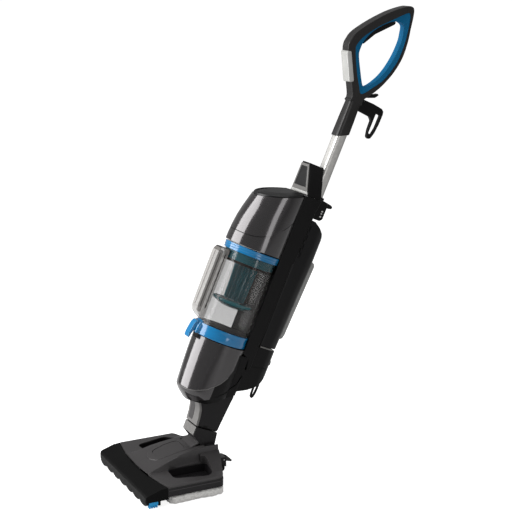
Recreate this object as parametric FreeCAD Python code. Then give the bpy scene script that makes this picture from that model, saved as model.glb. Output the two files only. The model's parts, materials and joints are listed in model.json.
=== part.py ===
import FreeCAD, Part
import math
import os

# Upright suction cleaner and steam mop in one, leaning back as it is held in use.
# Row frame: +Z up, the front faces -Y, origin on the floor at the middle of the mop pad.
# The floor head is drawn with Y = 0 at the recline hinge, and moved to the row frame as
# it is written. Everything above the hinge is drawn in the body frame, with X across,
# Y (called q) to the rear and Z (called s) up along the body, and is then leaned back by
# LEAN about X at BODY_Z above the floor.

V = FreeCAD.Vector
ACROSS = V(1, 0, 0)
REAR = V(0, 1, 0)
UP = V(0, 0, 1)
os.makedirs("parts", exist_ok=True)

# Lean and hinge
LEAN = 24.0
BODY_Z = 75.0
HINGE_Z = 64.0
HINGE_PIN_R = 4.0
KNUCKLE_R = 13.0
KNUCKLE_HALF = 30.5
CHEEK_GAP = 0.8
CHEEK_THICK = 9.0
CHEEK_R = 15.0

# Clearances
RUN = 0.05
GAP = 0.4
SLIDE_GAP = 1.0
WALL = 2.5
WIDE = 90.0

# Floor head, world frame
HEAD_HALF = 148.0
HEAD_FRONT = -208.0
STRIP_HALF = HEAD_HALF + 2.0
STRIP_END_Y = -155.0
STRIP_BOW = 17.0
HEAD_SIDE_REAR = -18.0
HEAD_CORNER = 14.0
STRIP_CORNER = 8.0
HEAD_REAR_HALF = 46.0
HEAD_REAR = 18.0
PAD_FRONT = -148.0
PAD_REAR = -13.0
PAD_H = 13.0
TRAY_H = 7.0
BASE_Z = 20.6
BASE_FLOOR = 3.0
RIM_Z = 40.0
COVER_RIM = 6.0
HUMP_TOP = 79.0
HUMP_FRONT_HALF = 62.0
HUMP_REAR_HALF = 44.0
WINDOW_IN = 58.0
WINDOW_OUT = HEAD_HALF - 20.0
WINDOW_FRONT = -118.0
WINDOW_REAR = -30.0
NOZZLE_LOW = 16.0
NOZZLE_FRONT_Z = 32.0
NOZZLE_REAR_Z = 42.0
SLOT_HALF = STRIP_HALF - 18.0
SLOT_FRONT = -200.0
SLOT_REAR = -178.0
LIP_Z = 4.0
LIP_WAVE = 11
DUCT_HALF = 20.0
DUCT_H = 20.0
WHEEL_R = 10.0
WHEEL_W = 8.0
WHEEL_Y = 31.0
WHEEL_X = 26.0
AXLE_R = 2.5
PEDAL_HALF = 16.0
PEDAL_Y = 44.0
PEDAL_Z = 25.0
PEDAL_TIP = 66.0
PEDAL_PIN_R = 2.0
SCREW_R = 1.5
SCREW_HEAD_R = 3.2
POST_R = 4.5

# Neck, body frame
NECK_HALF = 31.0
NECK_FRONT = -48.0
NECK_REAR = 9.0
NECK_Q = -20.0
SPLIT_S = 33.0
SPLIT_GAP = 0.8
NECK_TOP = 92.0
DUCT_R = 12.0
PIPE_R = 15.0
PIPE_S = 136.0
BUSH_R = 19.0
BUSH_WALL = 4.0
BUSH_H = 10.0
STRIP_W = KNUCKLE_HALF - 1.5
STRIP_T = 2.4

# Body shells, body frame
TANK_Q = -64.0
SIDE_HALF = 50.0
BORDER_Q = -16.0
LOW_TOP = 239.0
LOW_FRONT_TOP = -124.0
LOW_FRONT_BOTTOM = -117.0
SPINE_REAR = 20.0
SPINE_TOP = 628.0
UPPER_BOTTOM = 469.0
UPPER_FRONT = -134.0
SHOULDER_S = 530.0
SHOULDER_FRONT = -129.0
CAP_FRONT_S = 591.0
CAP_REAR_S = 627.0
CAP_FRONT = -112.0
CAP_T = 7.0
CASE_HALF = 45.0
CASE_REAR = 80.0
CASE_TOP = 258.0

# Dirt tank, body frame
RING_R = 66.0
CUP_R = RING_R - 2.0
SHELL_R = RING_R + 2.0
CUP_WALL = 2.0
RING_BOTTOM = 240.5
RING_TOP = 268.0
LID_BOTTOM = 450.0
LID_TOP = 466.5
CORE_R = 25.0
DISK_S = 334.0
DISK_R = 49.0
FLANGE_R = 52.0
FLANGE_T = 12.0
OUTLET_R = 22.0
GRIP_HALF = 14.0
GRIP_FRONT = TANK_Q - CUP_R - 26.0
GRIP_BOTTOM = 298.0
GRIP_TOP = 448.0
LATCH_HALF = 11.0
LATCH_Q = TANK_Q - RING_R - 7.0
LATCH_S = 262.0
LATCH_PIN_R = 1.5

# Water tank, body frame
WATER_HALF = 46.0
WATER_FRONT = 21.0
WATER_REAR = 88.0
WATER_BOTTOM = 262.0
WATER_SHOULDER = 556.0
WATER_TOP = 578.0
STRIPE_HALF = 19.0
BACK_HALF = 20.0
STRIPE_REAR = 99.0
STRIPE_BOTTOM = 290.0
STRIPE_TOP = 480.0
WATER_CAP_R = 15.0
WATER_CAP_Q = 58.0

# Tube, housing and latch block, body frame
TUBE_Q = 42.0
TUBE_X = 15.0
TUBE_D = 13.0
TUBE_ROUND = 8.0
TUBE_WALL = 1.2
TUBE_BOTTOM = 584.0
TUBE_LENGTH = 276.0
TUBE_TOP = TUBE_BOTTOM + TUBE_LENGTH
HOUSING_TOP = 702.0
HOUSING_LOW_HALF = 41.0
HOUSING_FRONT_LOW = -6.0
HOUSING_FRONT_TOP = -15.0
HOUSING_TOP_HALF = 18.0
HOUSING_BACK_HALF = 25.0
BLOCK_HALF = 29.0
BLOCK_REAR = 66.0
LEVER_HALF = 14.0
LEVER_Q = 53.0
LEVER_S = 624.0
LEVER_TIP = 89.0
LEVER_PIN_R = 1.5

# Handle, body frame
HANDLE_HALF = 14.5
COLLAR_HALF = 18.0
COLLAR_FRONT = 26.0
COLLAR_REAR = 59.0
COLLAR_LOW_FRONT = TUBE_TOP - 78.0
COLLAR_LOW_REAR = TUBE_TOP - 58.0
COLLAR_TOP = TUBE_TOP + 12.0
LINER_T = 4.0
PANEL_HALF = 11.0
PANEL_T = 1.2
BUTTON_R = 4.2
BUTTON_STROKE = 1.0
TRIGGER_PIVOT = (61.0, TUBE_TOP + 214.0)
TRIGGER_REACH = 82.0
TRIGGER_TRAVEL = 4.5
HOOK_S = TUBE_TOP + 14.0
HOOK_Q = 70.0
HOOK_REAR = 130.0
HOOK_LOW = HOOK_S - 64.0
HOOK_HALF = 7.0
HOOK_PIN_R = 4.0

# Side-view curves of the handle: q, and height above the tube's top
OUTER_LOOP = [(31, 8), (28, 26), (10, 58), (-10, 90), (-28, 118), (-33, 137), (-26, 158),
              (-8, 188), (20, 219), (60, 250), (98, 271), (110, 266), (112, 248),
              (119, 215), (120, 172), (113, 125), (99, 85), (78, 48), (62, 20), (58, 6)]
INNER_LOOP = [(54, 57), (80, 80), (97, 115), (105, 161), (104, 198), (96, 224), (83, 226),
              (55, 208), (28, 181), (8, 152), (2, 130), (8, 109), (24, 83), (40, 63)]
TRIGGER = [(12, 149), (24, 167), (44, 190), (62, 206), (66, 219), (50, 211), (28, 190),
           (10, 167), (6, 154)]
CLIP = [(74, 36), (92, 43), (99, 52), (96, 55), (86, 49), (79, 47)]


def body_place():
    """The lean that puts a body-frame shape into the world."""
    return FreeCAD.Placement(V(0, 0, BODY_Z), FreeCAD.Rotation(ACROSS, -LEAN))


def to_body(y, z):
    """World side-view point to body-frame q and s."""
    rise = z - BODY_Z
    turn = math.radians(LEAN)
    q = y * math.cos(turn) - rise * math.sin(turn)
    s = y * math.sin(turn) + rise * math.cos(turn)
    return q, s


def save(name, shape):
    """Move one sub-part to the row frame and write it."""
    placed = shape.copy()
    placed.translate(V(0, -(PAD_FRONT + PAD_REAR) / 2, 0))
    placed.exportStep("parts/" + name + ".step")


def save_leaned(name, shape):
    """Lean one body-frame sub-part back and write it."""
    placed = shape.copy()
    placed.Placement = body_place().multiply(placed.Placement)
    save(name, placed)


def box(x0, x1, y0, y1, z0, z1):
    return Part.makeBox(x1 - x0, y1 - y0, z1 - z0, V(x0, y0, z0))


def rod(radius, length, start, axis):
    return Part.makeCylinder(radius, length, start, axis)


def cross_rod(radius, half, q, s):
    return rod(radius, 2 * half, V(-half, q, s), ACROSS)


def soft_box(x0, x1, y0, y1, z0, z1, radius, axis="z"):
    """Box with the four edges along one axis rounded."""
    solid = box(x0, x1, y0, y1, z0, z1)
    chosen = [edge for edge in solid.Edges if edge_axis(edge) == axis]
    return solid.makeFillet(radius, chosen)


def edge_axis(edge):
    """Name of the axis that a straight edge runs along."""
    step = edge.Vertexes[-1].Point - edge.Vertexes[0].Point
    sizes = {"x": abs(step.x), "y": abs(step.y), "z": abs(step.z)}
    return max(sizes, key=sizes.get)


def side_slab(outline, half):
    """Side-view outline of (q, s) points, extruded across X."""
    points = [V(-half, q, s) for q, s in outline]
    wire = Part.makePolygon(points + [points[0]])
    return Part.Face(wire).extrude(V(2 * half, 0, 0))


def side_loop(outline, half):
    """Closed smooth curve of (q, height above the tube), extruded across X."""
    curve = Part.BSplineCurve()
    points = [V(-half, q, TUBE_TOP + rise) for q, rise in outline]
    curve.interpolate(points, PeriodicFlag=True)
    return Part.Face(Part.Wire(curve.toShape())).extrude(V(2 * half, 0, 0))


def plan_slab(outline, z0, z1):
    """Plan outline of (x, y) points, extruded up."""
    points = [V(x, y, z0) for x, y in outline]
    wire = Part.makePolygon(points + [points[0]])
    return Part.Face(wire).extrude(V(0, 0, z1 - z0))


def shell_section(s, front, rear, half):
    """Round front, straight sides from the border line to the rear."""
    left = V(-half, BORDER_Q, s)
    right = V(half, BORDER_Q, s)
    edges = [Part.Arc(left, V(0, front, s), right).toShape()]
    if rear > BORDER_Q:
        edges.append(Part.makeLine(right, V(half, rear, s)))
        edges.append(Part.makeLine(V(half, rear, s), V(-half, rear, s)))
        edges.append(Part.makeLine(V(-half, rear, s), left))
    else:
        edges.append(Part.makeLine(right, left))
    return Part.Wire(edges)


def ring(outer, inner, s0, s1, q):
    solid = rod(outer, s1 - s0, V(0, q, s0), UP)
    return solid.cut(rod(inner, s1 - s0, V(0, q, s0), UP))


def fuse_all(shapes):
    result = shapes[0]
    for shape in shapes[1:]:
        result = result.fuse(shape)
    return result.removeSplitter()


# ---------------------------------------------------------------- floor head

def mirror_outline(half_outline):
    """Close a right-hand plan outline with its mirror image."""
    return half_outline + [(-x, y) for x, y in reversed(half_outline)]


def head_outline(inset):
    """Plan of the base and cover behind the front strip."""
    front = STRIP_END_Y + GAP + inset
    side = HEAD_HALF - inset
    return mirror_outline([
        (side, front),
        (side, HEAD_SIDE_REAR - inset),
        (HEAD_REAR_HALF + 22 - inset, HEAD_REAR - 6 - inset),
        (HEAD_REAR_HALF - inset, HEAD_REAR - inset)])


def head_slab(inset, z0, z1):
    """Head plan extruded up, with its two rear side corners rounded."""
    solid = plan_slab(head_outline(inset), z0, z1)
    corner_y = HEAD_SIDE_REAR - inset
    return solid.makeFillet(HEAD_CORNER - inset, upright_edges(solid, corner_y))


def upright_edges(solid, y):
    """Upright edges that stand at one y."""
    chosen = []
    for edge in solid.Edges:
        if edge_axis(edge) == "z" and abs(edge.Vertexes[0].Point.y - y) < 0.01:
            chosen.append(edge)
    return chosen


def screw_places():
    """Plan places of the head screws."""
    rear = HEAD_SIDE_REAR - 14
    return [(side * (HEAD_HALF - 9), y) for side in (-1, 1) for y in (STRIP_END_Y + 10, rear)]


def pedal_bracket():
    """Two arms behind the base that carry the wheels and the pedal."""
    inner = PEDAL_HALF + GAP
    arms = []
    for side in (-1, 1):
        x0 = min(side * inner, side * (inner + 4))
        arm = box(x0, x0 + 4, HEAD_REAR - 4, PEDAL_Y + 5, BASE_Z - 12, PEDAL_Z + 6)
        arms.append(arm)
    return arms


def head_base():
    """Dark tray with a rim, arms for the wheels, and cheeks for the hinge."""
    solid = head_slab(0, BASE_Z, RIM_Z)
    inside = head_slab(WALL, BASE_Z + BASE_FLOOR, RIM_Z + 1)
    solid = solid.cut(inside)
    solid = fuse_all([solid] + pedal_bracket() + hinge_cheeks())
    for x, y in screw_places():
        solid = solid.cut(rod(SCREW_R + 0.2, BASE_FLOOR, V(x, y, BASE_Z), UP))
        solid = solid.cut(rod(SCREW_HEAD_R + 0.2, 1.6, V(x, y, BASE_Z), UP))
    solid = solid.cut(duct_form(GAP))
    half = PEDAL_HALF + 9
    solid = solid.cut(cross_rod(AXLE_R, half, WHEEL_Y, WHEEL_R))
    return solid.cut(cross_rod(PEDAL_PIN_R, half, PEDAL_Y, PEDAL_Z))


def hinge_cheeks():
    """Two uprights beside the knuckle, bored for the hinge pins."""
    cheeks = []
    inner = KNUCKLE_HALF + CHEEK_GAP
    for side in (-1, 1):
        x0 = min(side * inner, side * (inner + CHEEK_THICK))
        web = box(x0, x0 + CHEEK_THICK, -CHEEK_R, CHEEK_R, BASE_Z + BASE_FLOOR - 1, HINGE_Z)
        boss = rod(CHEEK_R, CHEEK_THICK, V(x0, 0, HINGE_Z), ACROSS)
        cheek = web.fuse(boss)
        cheeks.append(cheek.cut(rod(HINGE_PIN_R, CHEEK_THICK, V(x0, 0, HINGE_Z), ACROSS)))
    return cheeks


def hinge_pins():
    """Two short pins, fixed in the cheeks and running in the knuckle."""
    start = KNUCKLE_HALF - 8
    length = 8 + CHEEK_GAP + CHEEK_THICK
    right = rod(HINGE_PIN_R, length, V(start, 0, HINGE_Z), ACROSS)
    left = rod(HINGE_PIN_R, length, V(-start - length, 0, HINGE_Z), ACROSS)
    return [left, right]


def hump_section(y, half, top, rim, drop):
    """Cross-section of the cover: flat rim, hump in the middle."""
    side = HEAD_HALF - drop
    low = RIM_Z + GAP
    points = [(side, low), (side, rim), (half + 16, rim), (half, (rim + 2 * top) / 3),
              (half - 8, top)]
    outline = points + [(-x, z) for x, z in reversed(points)]
    corners = [V(x, y, z) for x, z in outline]
    return Part.makePolygon(corners + [corners[0]])


def cover_form(drop):
    """Solid under the cover's top surface, lowered and narrowed by drop."""
    rim = RIM_Z + GAP + COVER_RIM - drop
    stations = [
        (STRIP_END_Y - STRIP_BOW, HUMP_FRONT_HALF, rim + 1),
        (-110, (HUMP_FRONT_HALF + HUMP_REAR_HALF) / 2, HUMP_TOP - 13 - drop),
        (-50, HUMP_REAR_HALF + 2, HUMP_TOP - 2 - drop),
        (HEAD_REAR, HUMP_REAR_HALF, HUMP_TOP - drop)]
    wires = [hump_section(y, half, top, rim, drop) for y, half, top in stations]
    return Part.makeLoft(wires, True, True)


def window_box(side):
    """Opening beside the hump that shows the tray below."""
    x0 = min(side * WINDOW_IN, side * WINDOW_OUT)
    x1 = max(side * WINDOW_IN, side * WINDOW_OUT)
    return soft_box(x0, x1, WINDOW_FRONT, WINDOW_REAR, BASE_Z, HUMP_TOP, 12)


def strip_border(inset, z0, z1):
    """Plan of the front strip: straight front, bowed rear border."""
    half = STRIP_HALF - inset
    front = HEAD_FRONT + inset
    rear = STRIP_END_Y - inset
    left = V(-half, rear, z0)
    right = V(half, rear, z0)
    bow = Part.Arc(left, V(0, rear - STRIP_BOW, z0), right).toShape()
    lines = [Part.makeLine(right, V(half, front, z0)),
             Part.makeLine(V(half, front, z0), V(-half, front, z0)),
             Part.makeLine(V(-half, front, z0), left)]
    solid = Part.Face(Part.Wire([bow] + lines)).extrude(V(0, 0, z1 - z0))
    return solid.makeFillet(STRIP_CORNER, upright_edges(solid, front))


def head_cover():
    """Grey cover with the hump, two windows and a slot for the knuckle."""
    solid = cover_form(0).cut(cover_form(WALL))
    keep = head_slab(0, RIM_Z, HUMP_TOP + 5)
    front = box(-HEAD_HALF, HEAD_HALF, HEAD_FRONT, STRIP_END_Y + 5, RIM_Z, HUMP_TOP + 5)
    solid = solid.common(keep.fuse(front))
    solid = solid.cut(strip_border(-GAP, 0, HUMP_TOP + 5))
    for side in (-1, 1):
        solid = solid.cut(window_box(side))
    slot = KNUCKLE_HALF + CHEEK_GAP + CHEEK_THICK + GAP
    solid = solid.cut(box(-slot, slot, -CHEEK_R - GAP, HEAD_REAR + 5, RIM_Z, HUMP_TOP + 5))
    throat = KNUCKLE_HALF + CHEEK_GAP
    solid = solid.cut(box(-throat, throat, NECK_FRONT, HEAD_REAR, RIM_Z, HUMP_TOP + 5))
    seat = hump_panel_form(GAP)
    solid = solid.cut(seat)
    for x, y in screw_places():
        post = rod(POST_R, RIM_Z + COVER_RIM - WALL + 1 - BASE_Z - BASE_FLOOR,
                   V(x, y, BASE_Z + BASE_FLOOR + GAP), UP)
        solid = solid.fuse(post.cut(rod(SCREW_R, 14, V(x, y, BASE_Z + BASE_FLOOR), UP)))
    return solid


def hump_panel_form(gap):
    """Inset panel on the sloping top of the hump."""
    half = HUMP_REAR_HALF - 18 + gap
    wedge = side_slab([(-128 - gap, HUMP_TOP - 26), (-60 + gap, HUMP_TOP - 6.6),
                       (-60 + gap, HUMP_TOP + 9), (-128 - gap, HUMP_TOP + 9)], half)
    return wedge


def hump_panel():
    """Smooth plate that fills the seat on the hump."""
    skin = cover_form(0.4).cut(cover_form(WALL))
    return skin.common(hump_panel_form(0))


def nozzle_housing():
    """Dark front strip, open below over its full width."""
    profile = [(HEAD_FRONT, NOZZLE_LOW), (HEAD_FRONT, NOZZLE_FRONT_Z - 3),
               (HEAD_FRONT + 4, NOZZLE_FRONT_Z), (STRIP_END_Y - STRIP_BOW, NOZZLE_REAR_Z),
               (STRIP_END_Y, NOZZLE_REAR_Z + 2), (STRIP_END_Y, NOZZLE_LOW)]
    solid = side_slab(profile, STRIP_HALF)
    solid = solid.common(strip_border(0, 0, NOZZLE_REAR_Z + 5))
    slot = box(-SLOT_HALF, SLOT_HALF, SLOT_FRONT, SLOT_REAR, 0, NOZZLE_FRONT_Z - 3)
    throat = box(-DUCT_HALF, DUCT_HALF, SLOT_REAR - 1, STRIP_END_Y, BASE_Z + 6,
                 NOZZLE_FRONT_Z - 3)
    return solid.cut(slot).cut(throat)


def nozzle_lip():
    """Lower lip in front of the slot with scalloped air inlets."""
    top = NOZZLE_LOW - 0.2
    front = box(-STRIP_HALF + 4, STRIP_HALF - 4, HEAD_FRONT + 2, SLOT_FRONT - 0.5, LIP_Z, top)
    rear = box(-STRIP_HALF + 4, STRIP_HALF - 4, SLOT_REAR + 0.5, SLOT_REAR + 6, LIP_Z, top)
    pitch = 2 * SLOT_HALF / LIP_WAVE
    for number in range(LIP_WAVE):
        x = -SLOT_HALF + pitch * (number + 0.5)
        notch = rod(pitch * 0.33, 12, V(x, HEAD_FRONT, LIP_Z), REAR)
        front = front.cut(notch)
    ends = []
    for side in (-1, 1):
        x0 = min(side * SLOT_HALF, side * (SLOT_HALF + 3))
        ends.append(box(x0, x0 + 3, SLOT_FRONT - 1, SLOT_REAR + 1, LIP_Z, top))
    return fuse_all([front, rear] + ends)


def edge_strips():
    """Ribbed blue strips under both ends of the nozzle, as one group."""
    strips = []
    for side in (-1, 1):
        for row in range(3):
            y = SLOT_FRONT + 1 + row * 7
            x0 = min(side * (SLOT_HALF + 6), side * (SLOT_HALF + 15))
            rib = box(x0, x0 + 9, y, y + 5.5, 1.0, NOZZLE_LOW - 0.2)
            back = box(x0, x0 + 9, y, y + 7.2, 5.0, NOZZLE_LOW - 0.2)
            strips.append(rib.fuse(back))
    left = fuse_all(strips[:3])
    right = fuse_all(strips[3:])
    return Part.makeCompound([clear_of_lip(left), clear_of_lip(right)])


def clear_of_lip(strip):
    """Leave the lip's own space free."""
    front = box(-STRIP_HALF, STRIP_HALF, HEAD_FRONT, SLOT_FRONT - 0.3, 0, NOZZLE_LOW)
    rear = box(-STRIP_HALF, STRIP_HALF, SLOT_REAR + 0.3, SLOT_REAR + 9, 0, NOZZLE_LOW)
    return strip.cut(front).cut(rear)


def duct_form(gap):
    """Outside of the suction duct, from the nozzle to the hinge."""
    half = DUCT_HALF + gap
    low = BASE_Z + BASE_FLOOR + GAP - gap
    return box(-half, half, STRIP_END_Y - STRIP_BOW + GAP - gap, NECK_FRONT - 2,
               low, low + DUCT_H + 2 * gap)


def head_duct():
    """Flat suction duct under the hump."""
    low = BASE_Z + BASE_FLOOR + GAP
    y0 = STRIP_END_Y - STRIP_BOW + GAP
    bore = box(-DUCT_HALF + 1.6, DUCT_HALF - 1.6, y0 - 1, NECK_FRONT, low + 1.6,
               low + DUCT_H - 1.6)
    solid = duct_form(0).cut(strip_border(-GAP, 0, NOZZLE_REAR_Z + 5))
    return solid.cut(bore)


def wheel(side):
    """Small transport wheel with a hub, behind the base."""
    x0 = side * WHEEL_X - WHEEL_W / 2
    tyre = rod(WHEEL_R, WHEEL_W, V(x0, WHEEL_Y, WHEEL_R), ACROSS)
    tyre = tyre.makeFillet(1.5, [e for e in tyre.Edges if e.Closed and len(e.Vertexes) == 1])
    return tyre.cut(rod(AXLE_R + RUN, WHEEL_W + 4, V(x0 - 2, WHEEL_Y, WHEEL_R), ACROSS))


def pins_and_axle():
    """Hinge pins, wheel axle and pedal pin, all fixed in the base, as one group."""
    axle = cross_rod(AXLE_R, WHEEL_X + WHEEL_W / 2 + 2, WHEEL_Y, WHEEL_R)
    pin = cross_rod(PEDAL_PIN_R, PEDAL_HALF + 4, PEDAL_Y, PEDAL_Z)
    return Part.makeCompound([axle, pin] + hinge_pins())


def tray_pedal():
    """Foot pedal behind the head that lets the mop tray go."""
    outline = [(PEDAL_Y - 5, PEDAL_Z - 4), (PEDAL_Y - 5, PEDAL_Z + 4), (PEDAL_Y + 8, PEDAL_Z + 3),
               (PEDAL_TIP, PEDAL_Z - 5), (PEDAL_TIP - 1, PEDAL_Z - 9), (PEDAL_Y + 6, PEDAL_Z - 5)]
    solid = side_slab(outline, PEDAL_HALF)
    return solid.cut(cross_rod(PEDAL_PIN_R + RUN, PEDAL_HALF, PEDAL_Y, PEDAL_Z))


def head_screws():
    """Four screws that hold the base to the cover."""
    screws = []
    for x, y in screw_places():
        head = rod(SCREW_HEAD_R, 1.5, V(x, y, BASE_Z), UP)
        shank = rod(SCREW_R, 13, V(x, y, BASE_Z), UP)
        screws.append(head.fuse(shank))
    return Part.makeCompound(screws)


def mop_tray():
    """Flat tray that carries the pad and clips under the base."""
    plate = soft_box(-HEAD_HALF + 9, HEAD_HALF - 9, PAD_FRONT + 7, PAD_REAR - 7,
                     PAD_H + 0.3, PAD_H + TRAY_H, 14)
    for side in (-1, 1):
        x0 = min(side * 40, side * 120)
        pocket = box(x0, x0 + 80, PAD_FRONT + 25, PAD_REAR - 25, PAD_H + 3, BASE_Z)
        plate = plate.cut(pocket)
    return plate


def mop_pad():
    """Plush pad, drawn as its closed soft volume."""
    return soft_box(-HEAD_HALF, HEAD_HALF, PAD_FRONT, PAD_REAR, 0, PAD_H, 16)


# ---------------------------------------------------------------- neck

def neck_bore(s0, s1):
    return rod(DUCT_R, s1 - s0, V(0, NECK_Q, s0), UP)


def neck_yoke():
    """Lower neck: knuckle round the hinge pins, web and swivel seat."""
    hinge_q, hinge_s = to_body(0, HINGE_Z)
    top = SPLIT_S - SPLIT_GAP / 2
    low_front = 11.0
    web = side_slab([(NECK_FRONT, low_front), (NECK_FRONT, top), (NECK_REAR, top),
                     (hinge_q + KNUCKLE_R - 1, hinge_s), (hinge_q, hinge_s),
                     (hinge_q - KNUCKLE_R + 1, hinge_s - 4)], KNUCKLE_HALF)
    knuckle = cross_rod(KNUCKLE_R, KNUCKLE_HALF, hinge_q, hinge_s)
    solid = web.fuse(knuckle).removeSplitter()
    solid = solid.cut(neck_bore(low_front - 22, top + 1))
    solid = solid.cut(cross_rod(HINGE_PIN_R + RUN, KNUCKLE_HALF, hinge_q, hinge_s))
    seat = rod(BUSH_R, BUSH_H, V(0, NECK_Q, top - BUSH_H), UP)
    return solid.cut(seat)


def neck_strip(s0, s1, front):
    """Light front strip of the neck, on the front face."""
    strip = soft_box(-STRIP_W, STRIP_W, front - STRIP_T, front - 0.05, s0, s1, 1.1)
    return strip


def swivel_bush():
    """Bearing ring of the steering swivel, fixed in the yoke."""
    low = SPLIT_S - SPLIT_GAP / 2 - BUSH_H
    high = SPLIT_S + BUSH_H
    return ring(BUSH_R, BUSH_R - BUSH_WALL, low, high, NECK_Q)


def neck_upper():
    """Upper neck above the swivel, flared into the chin."""
    low = SPLIT_S + SPLIT_GAP / 2
    outline = [(NECK_FRONT, low), (NECK_FRONT - 4, 75), (-66, NECK_TOP), (-20, 116),
               (14, 134), (14, 108), (NECK_REAR, low)]
    solid = side_slab(outline, NECK_HALF)
    solid = solid.cut(rod(DUCT_R, 120, V(0, NECK_Q, low), UP))
    seat = rod(BUSH_R + RUN, BUSH_H + 0.5, V(0, NECK_Q, low), UP)
    return solid.cut(seat)


def neck_front_strip():
    """Light strip on the front of the upper neck."""
    low = SPLIT_S + SPLIT_GAP / 2 + 0.4
    outline = [(NECK_FRONT - 0.1, low), (NECK_FRONT - 4.1, 75), (-62.8, 87.9),
               (-62.8 - STRIP_T, 86), (NECK_FRONT - 4.1 - STRIP_T, 74),
               (NECK_FRONT - 0.1 - STRIP_T, low)]
    return side_slab(outline, STRIP_W)


# ---------------------------------------------------------------- body

def lower_form(inset):
    """Outside of the lower body, round in front and straight behind."""
    half = SIDE_HALF - inset
    rear = SPINE_REAR - inset
    wires = [shell_section(80, LOW_FRONT_BOTTOM + inset, rear, half),
             shell_section(LOW_TOP, LOW_FRONT_TOP + inset, rear, half)]
    return Part.makeLoft(wires, True, True)


BAND_TOP = [(-27, LOW_TOP + 1), (-27, 188), (-51, 152), (-77, 130), (-111, 113), (-140, 106)]
BAND_LOW = [(SPINE_REAR + 2, 200), (10, 193), (-3, 157), (-23, 134), (-78, 104), (-140, 92)]
CHIN = [(-140, 70), (-95, 87), (-64, 95), (-20, 118.5), (14, 137), (SPINE_REAR + 2, 142)]


def lower_shell():
    """Glossy front shell under the dirt tank, open at its back."""
    region = side_slab(BAND_TOP + [(-150, 106), (-150, LOW_TOP + 1)], WIDE)
    skin = lower_form(0).cut(lower_form(WALL))
    return skin.common(region)


def chin_band():
    """Dark band that wraps under the front shell."""
    top = [(q + 0.3, s - 0.3) for q, s in BAND_TOP[1:]]
    region = side_slab([(SPINE_REAR + 2, LOW_TOP - 10), (-26.7, LOW_TOP - 10)] + top
                       + list(reversed(BAND_LOW)), WIDE)
    skin = lower_form(0).cut(lower_form(WALL + 1))
    side = box(-WIDE, WIDE, -140, 12, 70, LOW_TOP)
    return skin.common(region).common(side)


def chin_floor():
    """Underside of the body: a hollow wedge that carries the neck."""
    low = [(q, s - 0.3) for q, s in BAND_LOW]
    region = side_slab(CHIN + low, WIDE)
    solid = lower_form(0).common(region)
    core = side_slab([(q, s + 5) for q, s in CHIN] + [(q, s - 5) for q, s in low], WIDE)
    solid = solid.cut(core.common(lower_form(WALL + 1)))
    solid = solid.cut(rod(DUCT_R, 200, V(0, NECK_Q, 60), UP))
    return solid.cut(pipe_form(PIPE_R + GAP))


def spine_frame():
    """Hollow spine behind the tank, with a round recess for it."""
    half = SIDE_HALF
    solid = box(-half, half, BORDER_Q, SPINE_REAR, LOW_TOP - 9, SPINE_TOP)
    recess = rod(SHELL_R, UPPER_BOTTOM - LOW_TOP + 2, V(0, TANK_Q, LOW_TOP - 1), UP)
    inner = box(-half + WALL, half - WALL, BORDER_Q + WALL, SPINE_REAR - WALL,
                LOW_TOP - 9 + WALL, SPINE_TOP - WALL)
    wall = rod(SHELL_R + WALL, UPPER_BOTTOM - LOW_TOP + 8, V(0, TANK_Q, LOW_TOP - 4), UP)
    return solid.cut(recess).cut(inner.cut(wall))


def tapered_plan(half, front, rear, s0, s1):
    """Plan with square front corners that closes in to a narrow flat back."""
    deep = rear - front
    return plan_slab(mirror_outline([
        (half, front),
        (half, front + 0.52 * deep),
        (half - 9, rear - 0.18 * deep),
        (BACK_HALF, rear)]), s0, s1)


def rear_case():
    """Lower rear case round the boiler, below the water tank."""
    outline = [(SPINE_REAR + 0.2, 200), (SPINE_REAR + 0.2, CASE_TOP), (CASE_REAR, CASE_TOP),
               (CASE_REAR - 3, 194), (SPINE_REAR + 12, 152), (SPINE_REAR + 0.2, 146)]
    solid = side_slab(outline, CASE_HALF)
    inner = side_slab([(SPINE_REAR + 3, 165), (SPINE_REAR + 3, CASE_TOP - 3),
                       (CASE_REAR - 3, CASE_TOP - 3), (CASE_REAR - 6, 198),
                       (SPINE_REAR + 12, 160)], CASE_HALF - WALL)
    solid = solid.common(tapered_plan(CASE_HALF, SPINE_REAR, CASE_REAR, 140, CASE_TOP + 1))
    inner = inner.common(tapered_plan(CASE_HALF - WALL, SPINE_REAR + 3, CASE_REAR - 3, 140,
                                      CASE_TOP + 1))
    return solid.cut(inner)


def boiler():
    """Steam boiler, a lying cylinder with end flanges."""
    q = SPINE_REAR + 26.5
    s = 222.0
    body = cross_rod(21, 28, q, s)
    flange = cross_rod(22.5, 2, q, s)
    return body.fuse(flange)


def water_pump():
    """Small pump beside the suction pipe."""
    block = soft_box(20, 43, -58, -22, 158, 214, 3)
    return block.fuse(rod(7, 12, V(31, -40, 214), UP))


def pipe_form(radius):
    """Round bar along the line from the neck bore to the tank floor."""
    start = V(0, NECK_Q, PIPE_S)
    axis = V(0, TANK_Q + 20, LOW_TOP - 2) - start
    return rod(radius, axis.Length, start, axis)


def suction_pipe():
    """Pipe from the neck to the dirt tank."""
    return pipe_form(PIPE_R).cut(pipe_form(DUCT_R))


def upper_form(inset):
    """Outside of the upper body: shoulder and taper to the cap."""
    half = SIDE_HALF - inset
    rear = BORDER_Q - 0.2
    wires = [shell_section(UPPER_BOTTOM, UPPER_FRONT + inset, rear, half),
             shell_section(SHOULDER_S, SHOULDER_FRONT + inset, rear, half),
             shell_section(SPINE_TOP + 12, CAP_FRONT + 18 + inset, rear, half - 4)]
    return Part.makeLoft(wires, True, True)


def cap_line(q, drop):
    """Height of the slanted cap plane at q, lowered by drop."""
    slope = (CAP_REAR_S - CAP_FRONT_S) / (BORDER_Q - CAP_FRONT)
    return CAP_FRONT_S + slope * (q - CAP_FRONT) - drop


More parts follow.
